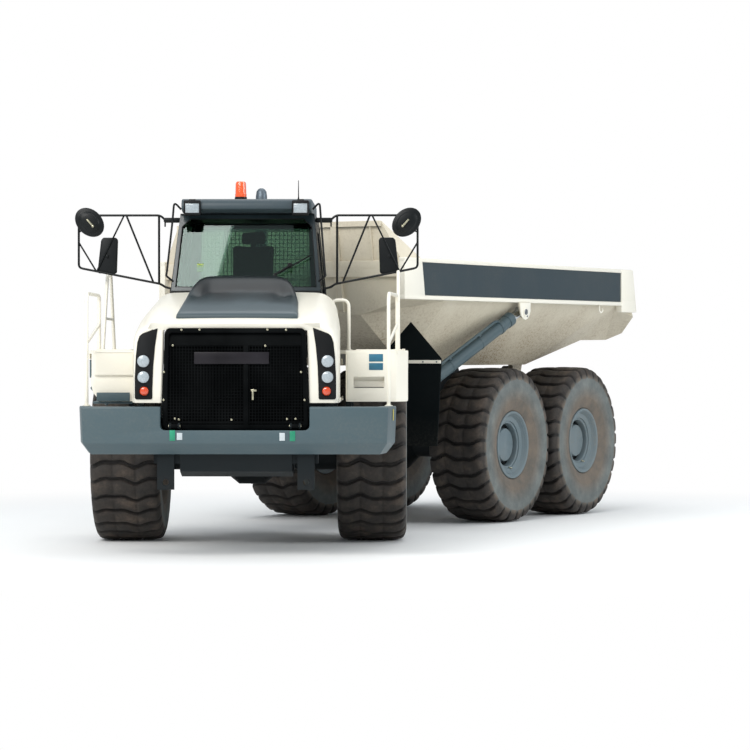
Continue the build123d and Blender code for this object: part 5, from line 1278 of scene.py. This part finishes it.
def puffed(name, low, high, corner):
    """A cushion blown up a little from a block, as foam is by its cover, with its edges drawn in."""
    core = boxed(name, low, high, corner, 4)
    modify(core, "REMESH", mode="VOXEL", voxel_size=FOAM_CELL)
    take(core)
    bpy.ops.object.modifier_add(type="CLOTH")
    cloth = core.modifiers[-1]
    cloth.settings.use_pressure = True
    cloth.settings.uniform_pressure_force = FOAM_PRESSURE
    cloth.settings.effector_weights.gravity = 0.0
    before = [vertex.co.copy() for vertex in core.data.vertices]
    for step in range(1, FOAM_FRAMES + 1):
        bpy.context.scene.frame_set(step)
    bpy.ops.object.modifier_apply(modifier=cloth.name)
    bpy.context.scene.frame_set(1)
    for vertex, start in zip(core.data.vertices, before):
        move = vertex.co - start
        if move.length > FOAM_RISE:
            vertex.co = start + move.normalized() * FOAM_RISE
    modify(core, "SUBSURF", levels=1, render_levels=1)
    return core


class TRUCK_OT_seat(Maker, bpy.types.Operator):
    """Models the cab seat: a sprung base, a padded cushion, a back and a head rest"""

    bl_idname = "truck.seat"
    bl_label = "Seat"

    def execute(self, context):
        base = [boxed("seat_base", (-0.19, -0.31, 2.045), (0.19, 0.11, 2.30), 0.02)]
        base.append(boxed("seat_pan", (-0.25, -0.375, 2.30), (0.25, 0.115, 2.395), 0.02))
        base.append(boxed("seat_post", (-0.03, 0.20, 2.50), (0.03, 0.245, 3.30), 0.01))
        base = joined("seat_frame", base)
        placed(base, "cabin", replaces=["seat"])
        pads = [
            # name, low corner, high corner, lean
            ("seat_cushion", (-0.25, -0.375, 2.40), (0.25, 0.105, 2.518), 0.0),
            ("seat_back", (-0.235, 0.075, 2.53), (0.235, 0.185, 3.24), 0.165),
            ("seat_head", (-0.13, 0.085, 3.255), (0.13, 0.175, 3.385), 0.165),
        ]
        for name, low, high, lean in pads:
            pad = puffed(name, low, high, 0.03)
            for vertex in pad.data.vertices:
                vertex.co.y += max(0.0, vertex.co.z - 2.55) * lean
            placed(pad, "fabric", smooth=60)
        return {"FINISHED"}


ROOF_SIDE = [
    # y, z
    (-1.098, 3.580),
    (-1.100, 3.610),
    (-1.094, 3.640),
    (-1.078, 3.665),
    (-1.050, 3.682),
    (-1.005, 3.690),
    (-0.840, 3.694),
    (0.500, 3.682),
    (0.575, 3.670),
    (0.612, 3.640),
    (0.628, 3.600),
    (0.608, 3.548),
    (-0.920, 3.542),
    (-1.060, 3.560),
]


class TRUCK_OT_roof(Maker, bpy.types.Operator):
    """Models the visor roof with its work lights, beacon and aerial"""

    bl_idname = "truck.roof"
    bl_label = "Roof"

    def execute(self, context):
        parts = [slab("roof_cap", ROOF_SIDE, "X", -0.690, 0.690, 0.012, 3)]
        for x in (-0.42, 0.42):
            parts.append(boxed("roof_rib", (x - 0.02, -0.75, 3.685), (x + 0.02, 0.45, 3.698), 0.005))
        placed(joined("roof_cap", parts), "roof", replaces=["cab_roof"])
        black = []
        lenses = []
        bright = []
        for side in (-1, 1):
            box = boxed("lamp_box", (side * 0.484, -1.128, 3.508), (side * 0.664, -1.070, 3.672), 0.014, 3)
            hollow = boxed("hollow", (side * 0.499, -1.14, 3.536), (side * 0.649, -1.100, 3.640), 0.006)
            black.append(carved(box, hollow))
            black.append(
                boxed("lamp_foot", (side * 0.54, -1.10, 3.652), (side * 0.61, -1.05, 3.685), 0.004)
            )
            bright.append(
                boxed("lamp_back", (side * 0.502, -1.104, 3.540), (side * 0.646, -1.100, 3.636), 0.002)
            )
            lenses.append(
                boxed("lamp_pane", (side * 0.501, -1.122, 3.538), (side * 0.647, -1.118, 3.638), 0.0015)
            )
        foot = [
            (0.0, 0.0),
            (0.0, 0.075),
            (0.020, 0.075),
            (0.030, 0.068),
            (0.058, 0.066),
            (0.064, 0.060),
            (0.064, 0.0),
        ]
        black.append(turned("beacon_foot", foot, (-0.10, -0.40, 3.682), UPWARDS, 32))
        aerial = [
            (0.0, 0.0),
            (0.0, 0.022),
            (0.012, 0.020),
            (0.035, 0.010),
            (0.06, 0.006),
            (0.236, 0.0035),
            (0.236, 0.0),
        ]
        black.append(turned("aerial", aerial, (0.53, -0.50, 3.682), UPWARDS, 12))
        placed(joined("roof_fittings", black), "abs", replaces=["roof_lamps"])
        placed(joined("work_reflectors", bright), "reflector")
        placed(joined("work_lenses", lenses), "clear_lens")
        dome = [
            (0.0, 0.0),
            (0.0, 0.063),
            (0.030, 0.063),
            (0.034, 0.060),
            (0.140, 0.057),
            (0.158, 0.052),
            (0.168, 0.040),
            (0.171, 0.0),
        ]
        beacon = turned("beacon_dome", dome, (-0.10, -0.40, 3.744), UPWARDS, 32)
        placed(beacon, "beacon")
        return {"FINISHED"}


class TRUCK_OT_stack(Maker, bpy.types.Operator):
    """Models the silencer behind the cab with its straps and the round-topped stack"""

    bl_idname = "truck.stack"
    bl_label = "Exhaust Stack"

    def execute(self, context):
        drum = rounded_outline((-0.24, 0.70), (0.36, 0.93), 0.09)
        parts = [slab("silencer", drum, "Z", 1.50, 2.25, 0.02, 3)]
        for z in (1.66, 2.09):
            strap = rounded_outline((-0.2435, 0.6965), (0.3635, 0.9335), 0.093)
            parts.append(slab("strap", strap, "Z", z, z + 0.04, 0.003))
        pipe = [(0.0, 0.0), (0.0, 0.060), (1.40, 0.060), (1.40, 0.064), (1.56, 0.064), (1.62, 0.056)]
        pipe += [(1.645, 0.038), (1.657, 0.018), (1.658, 0.0)]
        parts.append(turned("stack_pipe", pipe, (0.06, 0.81, 2.25), UPWARDS, 32))
        clamp = [(0, 0.060), (0, 0.068), (0.03, 0.068), (0.03, 0.060)]
        parts.append(turned("stack_clamp", clamp, (0.06, 0.81, 2.9), UPWARDS, 32))
        for x in (-0.20, 0.30):
            parts.append(boxed("silencer_foot", (x - 0.02, 0.82, 1.40), (x + 0.06, 0.92, 1.505), 0.005))
        placed(joined("exhaust", parts), "stack", replaces=["exhaust_stack"])
        return {"FINISHED"}


# Mirrors
MIRROR_Y = -0.78
MIRROR_TOP = 3.527
MIRROR_LOOP = [
    # x, z
    (0.850, 3.470),
    (0.886, 3.476),
    (0.941, MIRROR_TOP),
    (1.817, MIRROR_TOP),
    (1.817, 2.966),
    (1.730, 2.948),
    (0.936, 2.792),
    (0.886, 2.756),
    (0.815, 2.742),
]
MIRROR_STAYS = [
    # upper x, z, lower x, z, radius
    (0.955, MIRROR_TOP, 0.955, 2.795, 0.0125),
    (1.330, MIRROR_TOP, 1.624, 2.928, 0.009),
    (1.306, MIRROR_TOP, 1.015, 2.806, 0.0105),
    (1.817, 3.238, 1.630, 2.929, 0.009),
    (1.817, 3.345, 1.730, 3.400, 0.008),
]
OBLONG_MIRROR = [
    # x, z
    (1.412, 2.915),
    (1.430, 2.902),
    (1.604, 2.906),
    (1.618, 2.925),
    (1.580, 3.262),
    (1.556, 3.290),
    (1.420, 3.290),
    (1.400, 3.265),
]


def on_mirror(x, z, ahead=0.0):
    """A point of the upright mirror frame, some way in front of it."""
    return (x, MIRROR_Y - ahead, z)


class TRUCK_OT_mirrors(Maker, bpy.types.Operator):
    """Models the tube frame of the mirrors with an oval and an oblong mirror on each side"""

    bl_idname = "truck.mirrors"
    bl_label = "Mirrors"

    def execute(self, context):
        black = [piped("mirror_loop", [on_mirror(x, z) for x, z in MIRROR_LOOP], 0.0125, 0.06)]
        for x0, z0, x1, z1, radius in MIRROR_STAYS:
            black.append(rod("mirror_stay", on_mirror(x0, z0), on_mirror(x1, z1), radius, 0, 10))
        black.append(boxed("upper_arm", (0.722, -0.808, 3.448), (0.905, -0.752, 3.502), 0.016, 3))
        black.append(rod("arm_bolt", on_mirror(0.890, 3.405), on_mirror(0.890, 3.48), 0.009, 0.002, 8))
        black.append(boxed("lower_foot", (0.800, -0.808, 2.645), (0.838, -0.752, 2.742), 0.010, 3))
        # Oval mirror: a dish squeezed across its long axis, which slopes up and out
        dish = [(0.0, 0.0), (0.0, 0.160), (0.006, 0.172), (0.016, 0.1765), (0.026, 0.172), (0.031, 0.160)]
        dish += [(0.032, 0.140), (0.036, 0.128), (0.050, 0.110), (0.057, 0.070), (0.059, 0.0)]
        oval = turned("oval_dish", dish, ORIGIN, FORWARDS, 48)
        glass = turned("oval_glass", [(-0.003, 0.0), (-0.003, 0.156), (0.002, 0.160)], ORIGIN, FORWARDS, 48)
        centre = Matrix.Translation(on_mirror(1.699, 3.452, 0.004))
        squeeze = Matrix.Scale(0.76, 4, Vector((1, 0, -1)).normalized())
        for piece in (oval, glass):
            piece.data.transform(centre @ squeeze)
        black.append(oval)
        black.append(
            slab("oblong_mirror", OBLONG_MIRROR, "Y", MIRROR_Y + 0.072, MIRROR_Y + 0.006, 0.020, 4)
        )
        pane_line = [(x * 0.92 + 0.121, z * 0.94 + 0.186) for x, z in OBLONG_MIRROR]
        pane = slab("oblong_glass", pane_line, "Y", MIRROR_Y + 0.075, MIRROR_Y + 0.069, 0.002)
        clip = (on_mirror(1.512, 3.09, -0.01), on_mirror(1.512, 3.09, 0.018))
        black.append(rod("mirror_clip", *clip, 0.016, 0.004, 12))
        frames = twinned(joined("mirror_frames", black))
        placed(frames, "black", replaces=["mirrors"])
        bar_low = on_mirror(1.652, 3.402, 0.072)
        bar_high = on_mirror(1.722, 3.482, 0.072)
        bracket = rod("oval_bracket", bar_low, bar_high, 0.010, 0.003, 10)
        nut = rod(
            "oval_nut", on_mirror(1.657, 3.407, 0.055), on_mirror(1.657, 3.407, 0.088), 0.014, 0.003, 6
        )
        brackets = twinned(joined("mirror_brackets", [bracket, nut]))
        placed(brackets, "zinc")
        panes = twinned(joined("mirror_panes", [glass, pane]))
        placed(panes, "mirror")
        return {"FINISHED"}


# Rails and fenders
RAIL_TOP = 2.655
DECK = 2.08
FRONT_RAILS = [
    # x of the front post, x of the rear post
    (-1.522, -1.530),
    (1.522, 1.600),
]
DECK_RAILS = [
    # x, y of the front foot, front of the top, rear of the top, rear foot
    (-1.530, -1.050, -0.570, -0.260, 0.120),
    (1.610, -1.290, -1.130, -0.900, -0.560),
]
DECK_RAIL_TOP = 2.915
KNEE_SHARE = 0.407
RAIL_TUBE = 0.0185
KNEE_TUBE = 0.016


class TRUCK_OT_handrails(Maker, bpy.types.Operator):
    """Models the bent handrails with the feet that they are bolted down by"""

    bl_idname = "truck.handrails"
    bl_label = "Handrails"

    def execute(self, context):
        tubes = []
        feet = []
        for x0, x1 in FRONT_RAILS:
            run = [(x0, -2.64, 1.52), (x0, -2.64, RAIL_TOP), (x1, -1.40, RAIL_TOP), (x1, -1.40, DECK)]
            tubes.append(piped("front_rail", run, RAIL_TUBE, 0.10, sides=5))
            tubes.append(rod("knee_rail", (x0, -2.64, 2.15), (x1, -1.40, 2.35), KNEE_TUBE, 0, 16))
            feet += [(x0, -2.64, 1.521), (x1, -1.40, DECK + 0.001)]
        for x, front_foot, front_top, rear_top, rear_foot in DECK_RAILS:
            run = [
                (x, front_foot, DECK),
                (x, front_top, DECK_RAIL_TOP),
                (x, rear_top, DECK_RAIL_TOP),
                (x, rear_foot, DECK),
            ]
            tubes.append(piped("deck_rail", run, RAIL_TUBE, 0.09, sides=5))
            knee_z = DECK + KNEE_SHARE * (DECK_RAIL_TOP - DECK)
            near = (x, front_foot + KNEE_SHARE * (front_top - front_foot), knee_z)
            far = (x, rear_foot + KNEE_SHARE * (rear_top - rear_foot), knee_z)
            tubes.append(rod("deck_knee_rail", near, far, KNEE_TUBE, 0, 16))
            feet += [(x, front_foot, DECK + 0.001), (x, rear_foot, DECK + 0.001)]
        hoop = [(0.900, -1.0, DECK), (0.900, -1.0, 2.615), (1.085, -1.0, 2.615), (1.085, -1.0, DECK)]
        tubes.append(piped("hoop", hoop, RAIL_TUBE, 0.075, sides=5))
        feet += [(0.900, -1.0, DECK + 0.001), (1.085, -1.0, DECK + 0.001)]
        for x, y, z in feet:
            tubes.append(rod("foot_plate", (x, y, z - 0.001), (x, y, z + 0.007), 0.040, 0.003, 24))
            for a, b in circle(4, 0.030, 45):
                tubes.append(
                    rod("foot_bolt", (x + a, y + b, z + 0.006), (x + a, y + b, z + 0.013), 0.006, 0, 6)
                )
        placed(joined("handrail_tubes", tubes), "cream", replaces=["handrails"])
        return {"FINISHED"}


def fender(side):
    """One fender for the left side of the truck: its deck, skirt and grip strips."""
    edge = 1.716 if side > 0 else 1.560
    corner = 1.600 if side > 0 else 1.475
    deck_side = [
        (-2.298, 2.045), (0.19, 2.045), (0.448, 1.925), (0.448, 1.958), (0.20, 2.079), (-2.298, 2.079)
    ]
    deck = slab("deck", deck_side, "X", 0.842, edge, 0.008)
    gap = boxed("gap", (0.80, -2.32, 1.95), (1.082, -1.20, 2.12), 0)
    tip = slab("tip", [(corner, -2.31), (edge + 0.01, -2.31), (edge + 0.01, -2.137)], "Z", 1.9, 2.2, 0)
    deck = carved(carved(deck, gap), tip)
    skirt_side = [
        (-2.14, 1.992), (0.19, 1.992), (0.448, 1.882), (0.448, 1.958), (0.20, 2.078), (-2.14, 2.078)
    ]
    skirt = slab("skirt", skirt_side, "X", edge - 0.018, edge - 0.001, 0.006)
    parts = [deck, skirt]
    for step in range(11):
        y = -0.98 + step * 0.115
        parts.append(boxed("grip_bar", (0.90, y, 2.079), (edge - 0.10, y + 0.022, 2.084), 0.002))
    return parts


class TRUCK_OT_fenders(Maker, bpy.types.Operator):
    """Models the two fenders with the step, the panels, the lid and the blank plates on their boxes"""

    bl_idname = "truck.fenders"
    bl_label = "Fenders"

    def execute(self, context):
        self.left_fender()
        self.right_fender()
        return {"FINISHED"}

    def left_fender(self):
        box_outline = [(1.082, -2.30), (1.600, -2.30), (1.715, -2.14), (1.715, -1.062), (1.082, -1.062)]
        box = slab("fender_box", box_outline, "Z", 1.557, 2.070, 0.014, 3)
        step_side = [(-2.32, 1.697), (-2.32, 1.818), (-2.296, 1.812), (-2.235, 1.770), (-2.235, 1.697)]
        box = carved(box, slab("step", step_side, "X", 1.163, 1.475, 0))
        box = carved(box, boxed("seam", (1.100, -2.31, 1.54), (1.104, -2.292, 2.09), 0))
        parts = fender(1) + [box]
        parts.append(boxed("lid", (1.18, -2.02, 2.078), (1.66, -1.46, 2.090), 0.005))
        for y in (-1.90, -1.58):
            parts.append(boxed("lid_hinge", (1.655, y, 2.078), (1.685, y + 0.06, 2.096), 0.004))
        placed(joined("fender_left_panels", parts), "cream", replaces=["fender_left"])
        # A black sheet on the floor of the step recess, as painted shade
        tread = boxed("step_floor_painted_shade", (1.168, -2.296, 1.698), (1.470, -2.24, 1.704), 0.002)
        placed(tread, "abs")
        for z0, z1 in ((1.966, 2.043), (1.880, 1.951)):
            plate = boxed("blank_plate", (1.319, -2.304, z0), (1.462, -2.299, z1), 0.0015)
            placed(plate, "blue_label")

    def right_fender(self):
        brace = [(-2.300, 1.562), (-2.300, 1.650), (-2.286, 1.650), (-2.286, 1.562)]
        placed(slab("brace", brace, "X", -1.46, -1.12, 0.004), "slate")
        parts = fender(-1)
        box_outline = [(1.082, -2.298), (1.475, -2.298), (1.519, -2.24), (1.519, -1.062), (1.082, -1.062)]
        parts.append(slab("fender_box", box_outline, "Z", 1.822, 2.070, 0.014, 3))
        low_outline = [
            (1.084, 1.560), (1.430, 1.560), (1.500, 1.650), (1.517, 1.720), (1.517, 1.830), (1.084, 1.830)
        ]
        parts.append(slab("low_panel", low_outline, "Y", -2.270, -1.064, 0.010))
        parts.append(boxed("lid", (1.14, -2.02, 2.078), (1.46, -1.46, 2.090), 0.005))
        cover = joined("fender_right_panels", parts)
        cover.data.transform(MIRROR)
        cover.data.flip_normals()
        placed(cover, "cream", replaces=["fender_right"])
        dark = [boxed("side_strip", (-1.552, -2.10, 1.80), (-1.520, -2.06, 1.985), 0.004)]
        dark.append(rod("box_brace", (-1.535, -2.05, 1.70), (-1.36, -2.20, 1.53), 0.02, 0.004, 12))
        dark.append(boxed("box_sill", (-1.50, -2.26, 1.535), (-1.10, -1.90, 1.560), 0.006))
        placed(joined("fender_brace", dark), "slate")


# Load body
TUB_FRONT = 0.600
TUB_FOOT = 2.484
TUB_LEAN = 0.169
RAIL_OUT = 1.684
RAIL_LOW = 2.660
RAIL_HIGH = 3.135
HOIST_FOOT = Vector((1.103, 1.100, 1.356))
HOIST_HEAD = Vector((1.615, 3.354, 2.548))


def headboard(z, ahead=0.0):
    """How far behind the hitch the leaning headboard is at a height."""
    return TUB_FRONT - (z - TUB_FOOT) * TUB_LEAN - ahead


class TRUCK_OT_load_body(Maker, bpy.types.Operator):
    """Models the rolled rails, rear posts, headboard beam and hoist plates of the load body"""

    bl_idname = "truck.load_body"
    bl_label = "Load Body"

    def execute(self, context):
        rail = [boxed("rail_web", (1.601, 0.435, 2.670), (1.664, 6.435, 3.125), 0.004)]
        rail.append(boxed("rail_top", (1.601, 0.432, 3.088), (RAIL_OUT, 6.438, RAIL_HIGH), 0.009, 3))
        rail.append(
            boxed("rail_foot", (1.601, 0.432, RAIL_LOW + 0.001), (RAIL_OUT, 6.438, 2.708), 0.009, 3)
        )
        end_plate = [(0.432, 2.70), (0.900, 2.70), (0.835, 3.10), (0.432, 3.10)]
        rail.append(slab("rail_front_plate", end_plate, "X", 1.660, 1.6835, 0.004))
        post = [(6.118, 2.578), (6.568, 2.578), (6.459, 3.129), (6.118, 3.129)]
        rail.append(slab("rear_post", post, "X", 1.601, 1.689, 0.008, 3))
        rail.append(boxed("post_cap", (1.655, 6.13, 2.732), (1.6925, 6.52, 2.740), 0.003))
        outline = [
            (3.222, 2.662), (3.500, 2.662), (3.498, 2.560), (3.470, 2.505), (3.425, 2.468), (3.368, 2.452)
        ]
        outline += [(3.312, 2.462), (3.265, 2.495), (3.236, 2.548)]
        rail.append(slab("hoist_plate", outline, "X", 1.690, 1.702, 0.004))
        rail.append(rod("hoist_boss", (1.700, 3.354, 2.548), (1.712, 3.354, 2.548), 0.058, 0.004, 32))
        hook = [
            (1.655, 5.52, 2.662),
            (1.655, 5.50, 2.600),
            (1.655, 5.55, 2.560),
            (1.655, 5.61, 2.585),
            (1.655, 5.60, 2.62),
        ]
        rail.append(piped("hook", hook, 0.010, 0.03))
        rails = twinned(joined("body_rails_rolled", rail))
        placed(rails, "cream", "dump_body", ["body_rails"])
        pin = rod("hoist_pin", (1.710, 3.354, 2.548), (1.722, 3.354, 2.548), 0.036, 0.005, 24)
        bolt = rod("hoist_bolt", (1.7015, 3.40, 2.498), (1.712, 3.40, 2.498), 0.013, 0.002, 6)
        placed(twinned(joined("hoist_pins", [pin, bolt])), "steel", "dump_body")
        beam = [(headboard(2.926, 0.051), 2.926), (headboard(3.101, 0.051), 3.101)]
        beam += [(headboard(3.101, 0.010), 3.101), (headboard(2.926, 0.010), 2.926)]
        parts = [slab("head_beam", beam, "X", -1.598, 1.598, 0.012, 3)]
        rim = [(headboard(3.49, 0.052), 3.490), (headboard(3.55, 0.052), 3.552)]
        rim += [(headboard(3.55) + 0.004, 3.552), (headboard(3.49) + 0.004, 3.490)]
        parts.append(slab("head_rim", rim, "X", -1.386, 1.386, 0.010, 3))
        for u in (-0.77, 0.77):
            for side in (-0.042, 0.036):
                rib = [(headboard(2.52, 0.062), 2.52), (headboard(3.50, 0.052), 3.50)]
                rib += [(headboard(3.50, 0.01), 3.50), (headboard(2.52, 0.01), 2.52)]
                parts.append(slab("head_rib", rib, "X", u + side, u + side + 0.008, 0.002))
        for u in (-1.25, 1.25):
            gusset = [
                (headboard(3.10, 0.050), 3.10),
                (headboard(3.49, 0.050), 3.49),
                (headboard(3.49, 0.012), 3.49),
            ]
            gusset += [(headboard(3.10, 0.012), 3.10)]
            parts.append(slab("head_gusset", gusset, "X", u - 0.006, u + 0.006, 0.002))
        placed(joined("headboard_stiffeners", parts), "cream_body", "dump_body")
        self.rams()
        self.flap_bars()
        return {"FINISHED"}

    def rams(self):
        for name, side in (("left", 1), ("right", -1)):
            foot = Vector((side * HOIST_FOOT.x, HOIST_FOOT.y, HOIST_FOOT.z))
            head = Vector((side * HOIST_HEAD.x, HOIST_HEAD.y, HOIST_HEAD.z))
            along = (head - foot).normalized()
            above = Vector(UPWARDS) - along * along.z
            above = (above.normalized() + Vector((side * 0.35, 0, 0))).normalized()
            parts = []
            for start, end, radius in ((0.16, 0.20, 0.088), (2.16, 2.22, 0.088), (2.225, 2.262, 0.080)):
                parts.append(rod("ram_collar", foot + along * start, foot + along * end, radius, 0.005, 32))
            pipe = [foot + along * 0.20 + above * 0.085, foot + along * 0.26 + above * 0.125]
            pipe += [foot + along * 2.10 + above * 0.125, foot + along * 2.17 + above * 0.085]
            parts.append(piped("ram_pipe", pipe, 0.018, 0.03))
            for start in (0.55, 1.15, 1.75):
                ends = (foot + along * start, foot + along * (start + 0.03))
                parts.append(rod("pipe_clamp", *ends, 0.0845, 0.002, 32))
                saddle = foot + along * (start + 0.015) + above * 0.108
                parts.append(
                    rod("saddle", saddle - along * 0.018, saddle + along * 0.018, 0.024, 0.003, 12)
                )
            fittings = joined("ram_fittings_" + name, parts)
            placed(fittings, "slate", "hoist_foot_" + name)

    def flap_bars(self):
        bar = boxed("flap_strip", (0.80, 0.962, 1.930), (1.846, 0.980, 1.968), 0.003)
        placed(twinned(bar), "cream", "rear_frame")
        heads = []
        for x in (0.9, 1.15, 1.40, 1.62, 1.80):
            heads.append(rod("strip_bolt", (x, 0.955, 1.949), (x, 0.963, 1.949), 0.011, 0.002, 6))
        placed(twinned(joined("strip_bolts", heads)), "steel", "rear_frame")


# Finishes of the carried-over nodes
NODE_FINISHES = {
    "front_chassis": "chassis",
    "belly_guard": "chassis",
    "front_axle": "chassis",
    "engine_block": "engine",
    "console": "cabin",
    "cab_shell": "black",
    "cab_glass": "glass",
    "cab_door": "black",
    "door_glass": "glass",
    "hitch_yoke": "chassis",
    "rear_chassis": "chassis",
    "rear_bulkhead": "chassis",
    "bogie_axles": "chassis",
    "equaliser_beams": "chassis",
    "mud_flaps": "flap",
    "tail_lamps": "red_lens",
    "side_stripes": "stripe",
    "dump_floor": "cream_body",
    # the sides' darker cream is painted shade
    "dump_sides": "cream_sides",
    "dump_headboard": "cream_body",
    "hoist_barrel_left": "slate",
    "hoist_barrel_right": "slate",
    "hoist_rod_left": "chrome",
    "hoist_rod_right": "chrome",
    "steer_barrel_left": "chassis",
    "steer_barrel_right": "chassis",
    "steer_rod_left": "chrome",
    "steer_rod_right": "chrome",
}


class TRUCK_OT_frame_finishes(Maker, bpy.types.Operator):
    """Gives each carried-over node its finish"""

    bl_idname = "truck.frame_finishes"
    bl_label = "Frame Finishes"

    def execute(self, context):
        for node, finish in NODE_FINISHES.items():
            painted(frame["nodes"][node], finish)
        return {"FINISHED"}


# Stage
CAMERA_PLACE = (1.75392, -31.30904, 2.07688)
CAMERA_PITCH = 89.51044
CAMERA_YAW = 0.73798
CAMERA_LENS = 136.7464
LIT_POINT = Vector((0, 0, 1.6))
FLOOR_NEAR = 4.5
FLOOR_FAR = 10.0
SOFT_BOXES = [
    # name, place, size, power, tone
    ("soft_box_key", (-9.0, -16.0, 13.0), (12.0, 8.0), 2600.0, (1.0, 0.985, 0.96)),
    ("soft_box_side", (15.0, -7.0, 9.0), (9.0, 7.0), 1100.0, (0.95, 0.98, 1.0)),
    ("soft_box_top", (1.0, 2.0, 14.0), (14.0, 14.0), 900.0, (1.0, 1.0, 1.0)),
]


def light(name, place, size, power, tone):
    """A soft box that looks at the truck."""
    lamp = bpy.data.lights.new(name, "AREA")
    lamp.shape = "RECTANGLE"
    lamp.size, lamp.size_y = size
    lamp.energy = power
    lamp.color = tone
    holder = bpy.data.objects.new(name, lamp)
    bpy.context.scene.collection.objects.link(holder)
    holder.location = place
    holder.rotation_euler = (LIT_POINT - Vector(place)).to_track_quat("-Z", "Y").to_euler()


class TRUCK_OT_stage(Maker, bpy.types.Operator):
    """Sets the floor, the white backdrop, the soft boxes and the camera"""

    bl_idname = "truck.stage"
    bl_label = "Stage"

    def execute(self, context):
        clear()
        bpy.ops.mesh.primitive_plane_add(size=160, location=ORIGIN)
        floor = added("stage_floor")
        floor.data.materials.append(pale_floor())
        world = bpy.data.worlds.new("studio")
        context.scene.world = world
        world.use_nodes = True
        tree = world.node_tree
        tree.nodes.clear()
        soft = add_node(tree, "ShaderNodeBackground", {"Color": hue("#DDE4EA"), "Strength": 0.75})
        white = add_node(tree, "ShaderNodeBackground", {"Color": (1, 1, 1, 1), "Strength": 1.0})
        rays = add_node(tree, "ShaderNodeLightPath")
        seen = maths(tree, "MAXIMUM", (rays, "Is Camera Ray"), (rays, "Is Transmission Ray"))
        shaders = {0: (seen, "Value"), 1: (soft, "Background"), 2: (white, "Background")}
        mix = add_node(tree, "ShaderNodeMixShader", links=shaders)
        add_node(tree, "ShaderNodeOutputWorld", links={"Surface": (mix, "Shader")})
        for row in SOFT_BOXES:
            light(*row)
        camera = bpy.data.cameras.new("camera")
        camera.sensor_width = 36.0
        camera.lens = CAMERA_LENS
        holder = bpy.data.objects.new("camera", camera)
        context.scene.collection.objects.link(holder)
        holder.location = FRONT_PLACE @ Vector(CAMERA_PLACE)
        holder.rotation_euler = (math.radians(CAMERA_PITCH), 0, math.radians(CAMERA_YAW))
        camera.clip_end = 200
        context.scene.camera = holder
        context.scene.view_settings.view_transform = "Standard"
        return {"FINISHED"}


OPERATORS = [
    TRUCK_OT_stage,
    TRUCK_OT_frame_finishes,
    TRUCK_OT_wheels,
    TRUCK_OT_hood,
    TRUCK_OT_bulge,
    TRUCK_OT_grille,
    TRUCK_OT_headlamps,
    TRUCK_OT_bumper,
    TRUCK_OT_cab,
    TRUCK_OT_seat,
    TRUCK_OT_roof,
    TRUCK_OT_stack,
    TRUCK_OT_mirrors,
    TRUCK_OT_handrails,
    TRUCK_OT_fenders,
    TRUCK_OT_load_body,
]


class TRUCK_PT_panel(bpy.types.Panel):
    """Lists the steps that dress the truck."""

    bl_idname = "TRUCK_PT_panel"
    bl_label = "Dump Truck"
    bl_space_type = "VIEW_3D"
    bl_region_type = "UI"
    bl_category = "Dump Truck"

    def draw(self, context):
        for group in (context.scene.truck_sizes, context.scene.truck_colours):
            for key in group.__annotations__:
                self.layout.prop(group, key)
        for operator in OPERATORS:
            self.layout.operator(operator.bl_idname)


CLASSES = [TruckSizes, TruckColours, *OPERATORS, TRUCK_PT_panel]


def register():
    for cls in CLASSES:
        bpy.utils.register_class(cls)
    bpy.types.Scene.truck_sizes = bpy.props.PointerProperty(type=TruckSizes)
    bpy.types.Scene.truck_colours = bpy.props.PointerProperty(type=TruckColours)


def unregister():
    del bpy.types.Scene.truck_colours
    del bpy.types.Scene.truck_sizes
    for cls in reversed(CLASSES):
        bpy.utils.unregister_class(cls)


def main():
    register()
    make_finishes()
    for operator in OPERATORS:
        group, action = operator.bl_idname.split(".")
        getattr(getattr(bpy.ops, group), action)()
    bpy.context.view_layer.update()


if __name__ == "__main__":
    main()
